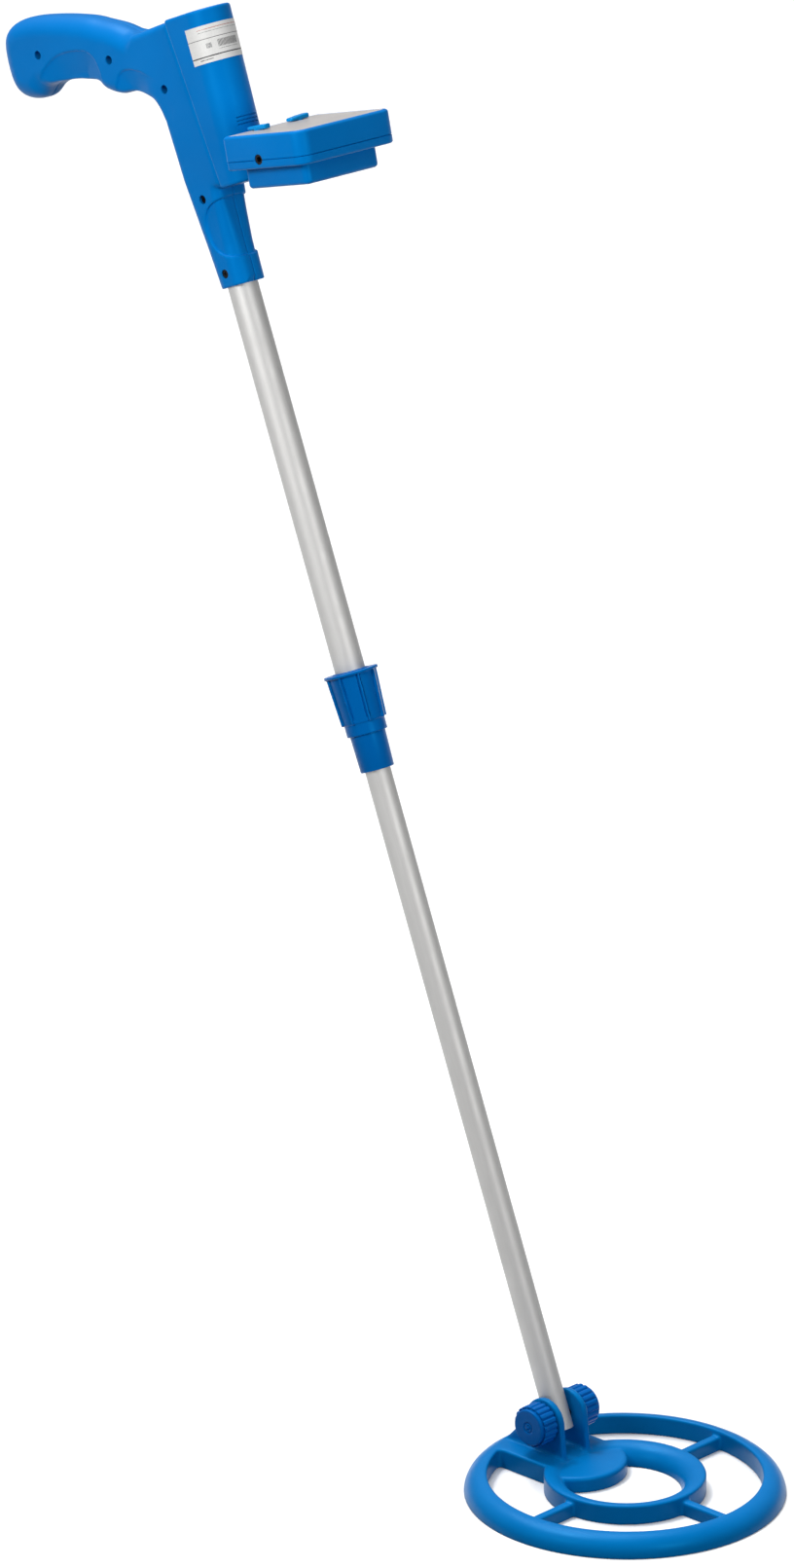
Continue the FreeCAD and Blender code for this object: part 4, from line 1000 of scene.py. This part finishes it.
class Nodes:
    """A material's node tree, with short ways to add and join nodes."""

    def __init__(self, name):
        self.material = bpy.data.materials.new(name)
        self.material.use_nodes = True
        self.tree = self.material.node_tree
        self.shader = self.tree.nodes["Principled BSDF"]
        self.place = self.add("ShaderNodeTexCoord").outputs["Object"]

    def add(self, kind, **settings):
        node = self.tree.nodes.new(kind)
        for key, value in settings.items():
            setattr(node, key, value)
        return node

    def join(self, output, target):
        self.tree.links.new(output, target)

    def mapped(self, matrix):
        """Object coordinates turned into a part's own millimetres."""
        inverse = matrix.inverted()
        mapping = self.add("ShaderNodeMapping")
        mapping.inputs["Location"].default_value = inverse.translation
        mapping.inputs["Rotation"].default_value = inverse.to_euler()
        mapping.inputs["Scale"].default_value = inverse.to_scale()
        self.join(self.place, mapping.inputs["Vector"])
        return mapping.outputs["Vector"]

    def noise(self, scale, detail=3.0, vector=None, rough=0.5):
        node = self.add("ShaderNodeTexNoise")
        node.inputs["Scale"].default_value = scale
        node.inputs["Detail"].default_value = detail
        node.inputs["Roughness"].default_value = rough
        self.join(vector or self.place, node.inputs["Vector"])
        return node.outputs["Fac"]

    def ramp(self, factor, dark, light, low=0.3, high=0.7):
        """From the dark colour at the low value to the light one at the high value."""
        node = self.add("ShaderNodeValToRGB")
        for element, position, colour in zip(node.color_ramp.elements, (low, high), (dark, light)):
            element.position = position
            element.color = (*colour, 1)
        self.join(factor, node.inputs["Fac"])
        return node.outputs["Color"]

    def rescale(self, value, new_low, new_high, low=0.3, high=0.7):
        """A noise's usual range, or another, stretched to a new one."""
        node = self.add("ShaderNodeMapRange")
        set_range(node, low, high, new_low, new_high)
        self.join(value, node.inputs["Value"])
        return node.outputs["Result"]

    def maths(self, operation, a, b=None):
        node = self.add("ShaderNodeMath", operation=operation)
        for socket, value in zip(node.inputs, (a, b)):
            if value is None:
                continue
            if isinstance(value, (int, float)):
                socket.default_value = value
            else:
                self.join(value, socket)
        return node.outputs[0]

    def mix(self, factor, a, b):
        node = self.add("ShaderNodeMix", data_type="RGBA")
        colours = [socket for socket in node.inputs if socket.type == "RGBA"]
        self.join(factor, node.inputs["Factor"])
        for socket, value in zip(colours, (a, b)):
            if isinstance(value, tuple):
                socket.default_value = (*value, 1)
            else:
                self.join(value, socket)
        return [socket for socket in node.outputs if socket.type == "RGBA"][0]

    def bump(self, height, strength, distance, normal=None):
        node = self.add("ShaderNodeBump")
        node.inputs["Strength"].default_value = strength
        node.inputs["Distance"].default_value = distance
        self.join(height, node.inputs["Height"])
        if normal:
            self.join(normal, node.inputs["Normal"])
        return node.outputs["Normal"]

    def finish(self, colour, roughness, normal=None, **settings):
        self.join(colour, self.shader.inputs["Base Color"])
        self.join(roughness, self.shader.inputs["Roughness"])
        if normal:
            self.join(normal, self.shader.inputs["Normal"])
        for key, value in settings.items():
            self.shader.inputs[key.replace("_", " ")].default_value = value
        return self.material


SHEEN_TINT = (0.02, 0.50, 1.0, 1.0)


def moulded_plastic(name, dark, light, roughness):
    """Satin injection-moulded plastic: a fine spark texture, faint flow marks and rubbed patches."""
    nodes = Nodes(name)
    flow = nodes.noise(22, 4)
    colour = nodes.ramp(flow, dark, light)
    spark = nodes.noise(2600, 2)
    ripple = nodes.noise(160, 2)
    normal = nodes.bump(ripple, 0.10, 0.0003)
    normal = nodes.bump(spark, 0.35, 0.00006, normal)
    patches = nodes.noise(60, 3)
    rough = nodes.rescale(patches, roughness - 0.05, roughness + 0.07)
    return nodes.finish(colour, rough, normal, Specular_IOR_Level=0.30, IOR=1.46, Specular_Tint=SHEEN_TINT)


def drawn_aluminium():
    """Satin drawn tube: fine lines along the stem, faint scuffs and smudges."""
    nodes = Nodes("drawn_aluminium")
    along = nodes.mapped(STEM)
    stretch = nodes.add("ShaderNodeMapping")
    stretch.inputs["Scale"].default_value = (1, 1, 0.012)
    nodes.join(along, stretch.inputs["Vector"])
    lines = nodes.noise(5.5, 4, stretch.outputs["Vector"])
    smudge = nodes.noise(45, 4)
    tint = nodes.ramp(lines, (0.50, 0.495, 0.485), (0.56, 0.555, 0.545), 0.25, 0.75)
    rough = nodes.maths("ADD", nodes.rescale(lines, 0.56, 0.62), nodes.rescale(smudge, -0.03, 0.05))
    normal = nodes.bump(lines, 0.06, 0.00006)
    return nodes.finish(tint, rough, normal, Metallic=0.85)


def plated_steel(name, tone):
    nodes = Nodes(name)
    speck = nodes.noise(900, 3)
    bright = tone * 1.35
    colour = nodes.ramp(speck, (tone, tone, tone * 1.03), (bright, bright, bright))
    rough = nodes.rescale(speck, 0.28, 0.42)
    return nodes.finish(colour, rough, nodes.bump(speck, 0.1, 0.00003), Metallic=1.0)


def brass():
    nodes = Nodes("turned_brass")
    speck = nodes.noise(700, 3)
    colour = nodes.ramp(speck, (0.55, 0.36, 0.12), (0.68, 0.48, 0.20))
    rough = nodes.rescale(speck, 0.25, 0.38)
    return nodes.finish(colour, rough, nodes.bump(speck, 0.1, 0.00003), Metallic=1.0)


def plain(name, dark, light, roughness, scale=300, bump=0.2, **settings):
    """An unshiny surface with a fine mottle: moulded black plastic, rubber, solder mask, foil."""
    nodes = Nodes(name)
    mottle = nodes.noise(scale, 4)
    colour = nodes.ramp(mottle, dark, light)
    rough = nodes.rescale(mottle, roughness - 0.06, roughness + 0.06)
    return nodes.finish(colour, rough, nodes.bump(mottle, bump, 0.00005), **settings)


def panel_foil():
    """Silver-grey printed foil with a very fine grain and a soft sheen."""
    nodes = Nodes("panel_foil")
    grain = nodes.noise(4200, 2)
    cloud = nodes.noise(28, 3)
    base = nodes.ramp(cloud, (0.47, 0.44, 0.43), (0.52, 0.49, 0.475))
    colour = nodes.mix(nodes.rescale(grain, 0.0, 0.25, 0.35, 0.65), base, (0.62, 0.60, 0.59))
    rough = nodes.rescale(grain, 0.30, 0.42)
    return nodes.finish(colour, rough, nodes.bump(grain, 0.12, 0.00003), Metallic=0.35)


LABEL_TOP = 876.0
# Forward place of the line that the label bends round.
LABEL_AXIS = NOSE_TOP - 0.4
# Millimetres down from the label's top, from and to, and a grey.
LABEL_RULES = ((8.0, 8.35, 0.08), (18.4, 19.1, 0.03))
# Down from and to, round the nose from and to, and a colour.
LABEL_BLOCK = (10.2, 14.6, -9.0, 6.0, (0.05, 0.05, 0.05))
LABEL_DASHES = (
    (2.2, 2.7, -20.0, 18.0, (0.45, 0.20, 0.17)),
    (3.9, 4.3, -20.0, 10.0, (0.30, 0.30, 0.30)),
    (15.6, 16.0, -9.0, 6.0, (0.25, 0.25, 0.25)),
    (20.2, 20.8, -23.0, -14.0, (0.10, 0.10, 0.10)),
    (11.0, 14.0, -16.5, -13.0, (0.28, 0.28, 0.28)))


def printed_label():
    """White paper with plain rules, a hatched block and blank fields: no writing."""
    nodes = Nodes("printed_label")
    vector = nodes.mapped(STEM)
    split = nodes.add("ShaderNodeSeparateXYZ")
    nodes.join(vector, split.inputs["Vector"])
    down = nodes.maths("SUBTRACT", LABEL_TOP, split.outputs["Z"])
    ahead = nodes.maths("SUBTRACT", split.outputs["X"], LABEL_AXIS)
    turn = nodes.maths("ARCTAN2", split.outputs["Y"], ahead)
    round_mm = nodes.maths("MULTIPLY", turn, POD_HALF)

    def both(a, b):
        return nodes.maths("MULTIPLY", a, b)

    def band(value, low, high):
        return both(nodes.maths("GREATER_THAN", value, low), nodes.maths("LESS_THAN", value, high))

    def field(low, high, start, end):
        return both(band(down, low, high), band(round_mm, start, end))

    fibre = nodes.noise(1500, 4)
    colour = nodes.ramp(fibre, (0.66, 0.655, 0.64), (0.74, 0.735, 0.72))
    for low, high, tone in LABEL_RULES:
        colour = nodes.mix(band(down, low, high), colour, (tone, tone, tone))
    stripes = nodes.maths("GREATER_THAN", nodes.maths("FRACT", nodes.maths("MULTIPLY", round_mm, 1.15)), 0.45)
    *block, ink = LABEL_BLOCK
    colour = nodes.mix(both(field(*block), stripes), colour, ink)
    dashes = nodes.maths("GREATER_THAN", nodes.noise(2.4, 0, vector), 0.40)
    for *row, tint in LABEL_DASHES:
        colour = nodes.mix(both(field(*row), dashes), colour, tint)
    rough = nodes.rescale(fibre, 0.42, 0.52)
    return nodes.finish(colour, rough, nodes.bump(fibre, 0.08, 0.00003))


def assign(piece, material):
    piece.data.materials.clear()
    piece.data.materials.append(material)


PLASTICS = {
    "housing_blue": ((0.0, 0.158, 0.500), (0.0, 0.174, 0.540), 0.40),
    "coil_blue": ((0.0, 0.150, 0.440), (0.0, 0.166, 0.480), 0.34),
    "clamp_blue": ((0.0, 0.105, 0.400), (0.0, 0.118, 0.440), 0.36),
    "collar_blue": ((0.0, 0.112, 0.400), (0.0, 0.126, 0.440), 0.34),
    "knob_blue": ((0.0, 0.215, 0.560), (0.005, 0.240, 0.600), 0.30)}
BLACK = (0.006, 0.006, 0.007), (0.012, 0.012, 0.013), 0.6
COPPER = (0.42, 0.16, 0.05), (0.60, 0.27, 0.10), 0.38
JACKET = (0.06, 0.06, 0.065), (0.09, 0.09, 0.095), 0.35


def paint(made):
    black = plain("black_plastic", *BLACK, Specular_IOR_Level=0.2)
    by_slot = {name: moulded_plastic(name, *look) for name, look in PLASTICS.items()}
    by_slot.update({
        "tube_aluminium": drawn_aluminium(),
        # Painted shade: the screws are near black so that the counterbores they sit down in look shaded.
        "screw_steel": plated_steel("screw_steel", 0.015),
        "control_steel": plated_steel("plated_steel", 0.30),
        "nut_brass": brass(),
        "panel_silver": panel_foil(),
        "label_white": printed_label(),
        "bush_plastic": plain("bush_plastic", (0.03, 0.03, 0.032), (0.05, 0.05, 0.052), 0.55),
        "speaker_black": plain("speaker_black", (0.01, 0.01, 0.01), (0.02, 0.02, 0.02), 0.45),
        "board_green": plain("board_green", (0.008, 0.10, 0.03), (0.015, 0.15, 0.05), 0.35),
        "battery_steel": plain("battery_jacket", *JACKET, Metallic=0.6),
        "socket_black": black,
        "snap_black": black,
        "winding_copper": plain("winding_copper", *COPPER, scale=900, Metallic=0.9),
        "gland_rubber": plain("gland_rubber", (0.008, 0.008, 0.008), (0.016, 0.016, 0.016), 0.7),
    })
    slots = {row["node"]: row["material_slot"] for row in frame["record"]["subparts"]}
    for node, piece in frame["nodes"].items():
        assign(piece, by_slot[slots[node]])
    for piece in made:
        assign(piece, by_slot[piece["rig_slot"]])


# ------------------------------------------------------------ studio
def make_floor():
    nodes = Nodes("studio_floor")
    cloud = nodes.noise(1.2, 2)
    colour = nodes.ramp(cloud, (0.94, 0.94, 0.94), (0.96, 0.96, 0.96))
    material = nodes.finish(colour, nodes.rescale(cloud, 0.85, 0.95), Specular_IOR_Level=0.1)
    low = CAD_BOX[0]
    size = 40.0
    mesh = bpy.data.meshes.new("studio_floor")
    corners = [(-size, -size, low.z), (size, -size, low.z), (size, size, low.z), (-size, size, low.z)]
    mesh.from_pydata(corners, [], [(0, 1, 2, 3)])
    floor = new_piece("studio_floor", mesh, Matrix.Identity(4))
    assign(floor, material)
    floor.visible_diffuse = False


def add_light(name, data, direction):
    """An object for the light, turned to shine along the direction."""
    light = bpy.data.objects.new(name, data)
    light.rotation_mode = "QUATERNION"
    light.rotation_quaternion = direction.to_track_quat("-Z", "Y")
    bpy.context.scene.collection.objects.link(light)
    return light


def area_light(name, place, target, size, power, spread):
    """A round softbox with a grid, which keeps its light inside a cone."""
    data = bpy.data.lights.new(name, "AREA")
    data.shape = "DISK"
    data.size = size
    data.energy = power
    data.spread = math.radians(spread)
    light = add_light(name, data, target - place)
    light.location = place


def sun_light(name, direction, strength, spread):
    """Even light from a direction, the same over the object and the whole floor."""
    data = bpy.data.lights.new(name, "SUN")
    data.energy = strength
    data.angle = math.radians(spread)
    add_light(name, data, -Vector(direction))


def make_world():
    """A bright upper dome over a dim lower one, so that undersides fall off as over a studio table."""
    world = bpy.data.worlds.new("studio")
    world.use_nodes = True
    tree = world.node_tree
    background = tree.nodes["Background"]
    place = tree.nodes.new("ShaderNodeTexCoord")
    split = tree.nodes.new("ShaderNodeSeparateXYZ")
    shades = tree.nodes.new("ShaderNodeMapRange")
    set_range(shades, -0.05, 0.60, 0.035, 0.40)
    tree.links.new(place.outputs["Generated"], split.inputs["Vector"])
    tree.links.new(split.outputs["Z"], shades.inputs["Value"])
    tree.links.new(shades.outputs["Result"], background.inputs["Strength"])
    background.inputs["Color"].default_value = (0.97, 0.985, 1.0, 1)
    bpy.context.scene.world = world


def make_lights():
    make_world()
    sun_light("overhead", (-0.42, 0.12, 1.0), 2.0, 36)
    sun_light("glint", (-0.32, -0.12, 0.93), 0.9, 8)
    handle = STEM @ Vector((0, 0, 800))
    area_light("key", handle + Vector((0.10, -1.25, 0.45)), handle, 0.55, 2.7, 80)
    nut = STEM @ Vector((0, 0, 500))
    area_light("fill", nut + Vector((1.5, -0.3, 0.5)), nut, 0.45, 2.4, 90)


CAMERA_YAW = 44.024
CAMERA_PITCH = 19.004
CAMERA_ROLL = -0.353
CAMERA_FROM_COIL = Vector((2662.459, -2951.517, 1826.073)) * MM
LENS = 163.37


def make_camera():
    yaw, pitch, roll = (math.radians(a) for a in (CAMERA_YAW, CAMERA_PITCH, CAMERA_ROLL))
    back = Vector((math.sin(yaw) * math.cos(pitch), -math.cos(yaw) * math.cos(pitch), math.sin(pitch)))
    right = Vector((math.cos(yaw), math.sin(yaw), 0))
    up = back.cross(right)
    turned_right = math.cos(roll) * right + math.sin(roll) * up
    turned_up = math.cos(roll) * up - math.sin(roll) * right
    data = bpy.data.cameras.new("camera")
    data.sensor_width = 36.0
    data.lens = LENS
    data.clip_end = 100
    camera = bpy.data.objects.new("camera", data)
    matrix = Matrix((turned_right, turned_up, back)).transposed().to_4x4()
    matrix.translation = COIL.translation + CAMERA_FROM_COIL
    camera.matrix_world = matrix
    bpy.context.scene.collection.objects.link(camera)
    bpy.context.scene.camera = camera
    bpy.context.scene.view_settings.view_transform = "Standard"


def main():
    made = [make_coil_shell()]
    made += make_handle()
    made.append(make_pod())
    made.append(make_control_cover())
    made += make_control_tray()
    panel, line = make_panel()
    made += [panel, line]
    made += make_panel_knobs()
    made += make_tubes()
    made += make_twist_lock()
    made += make_clamp_knobs()
    paint(made)
    assign(line, plain("panel_line", (0.75, 0.75, 0.76), (0.80, 0.80, 0.80), 0.35))
    make_floor()
    make_lights()
    make_camera()


main()
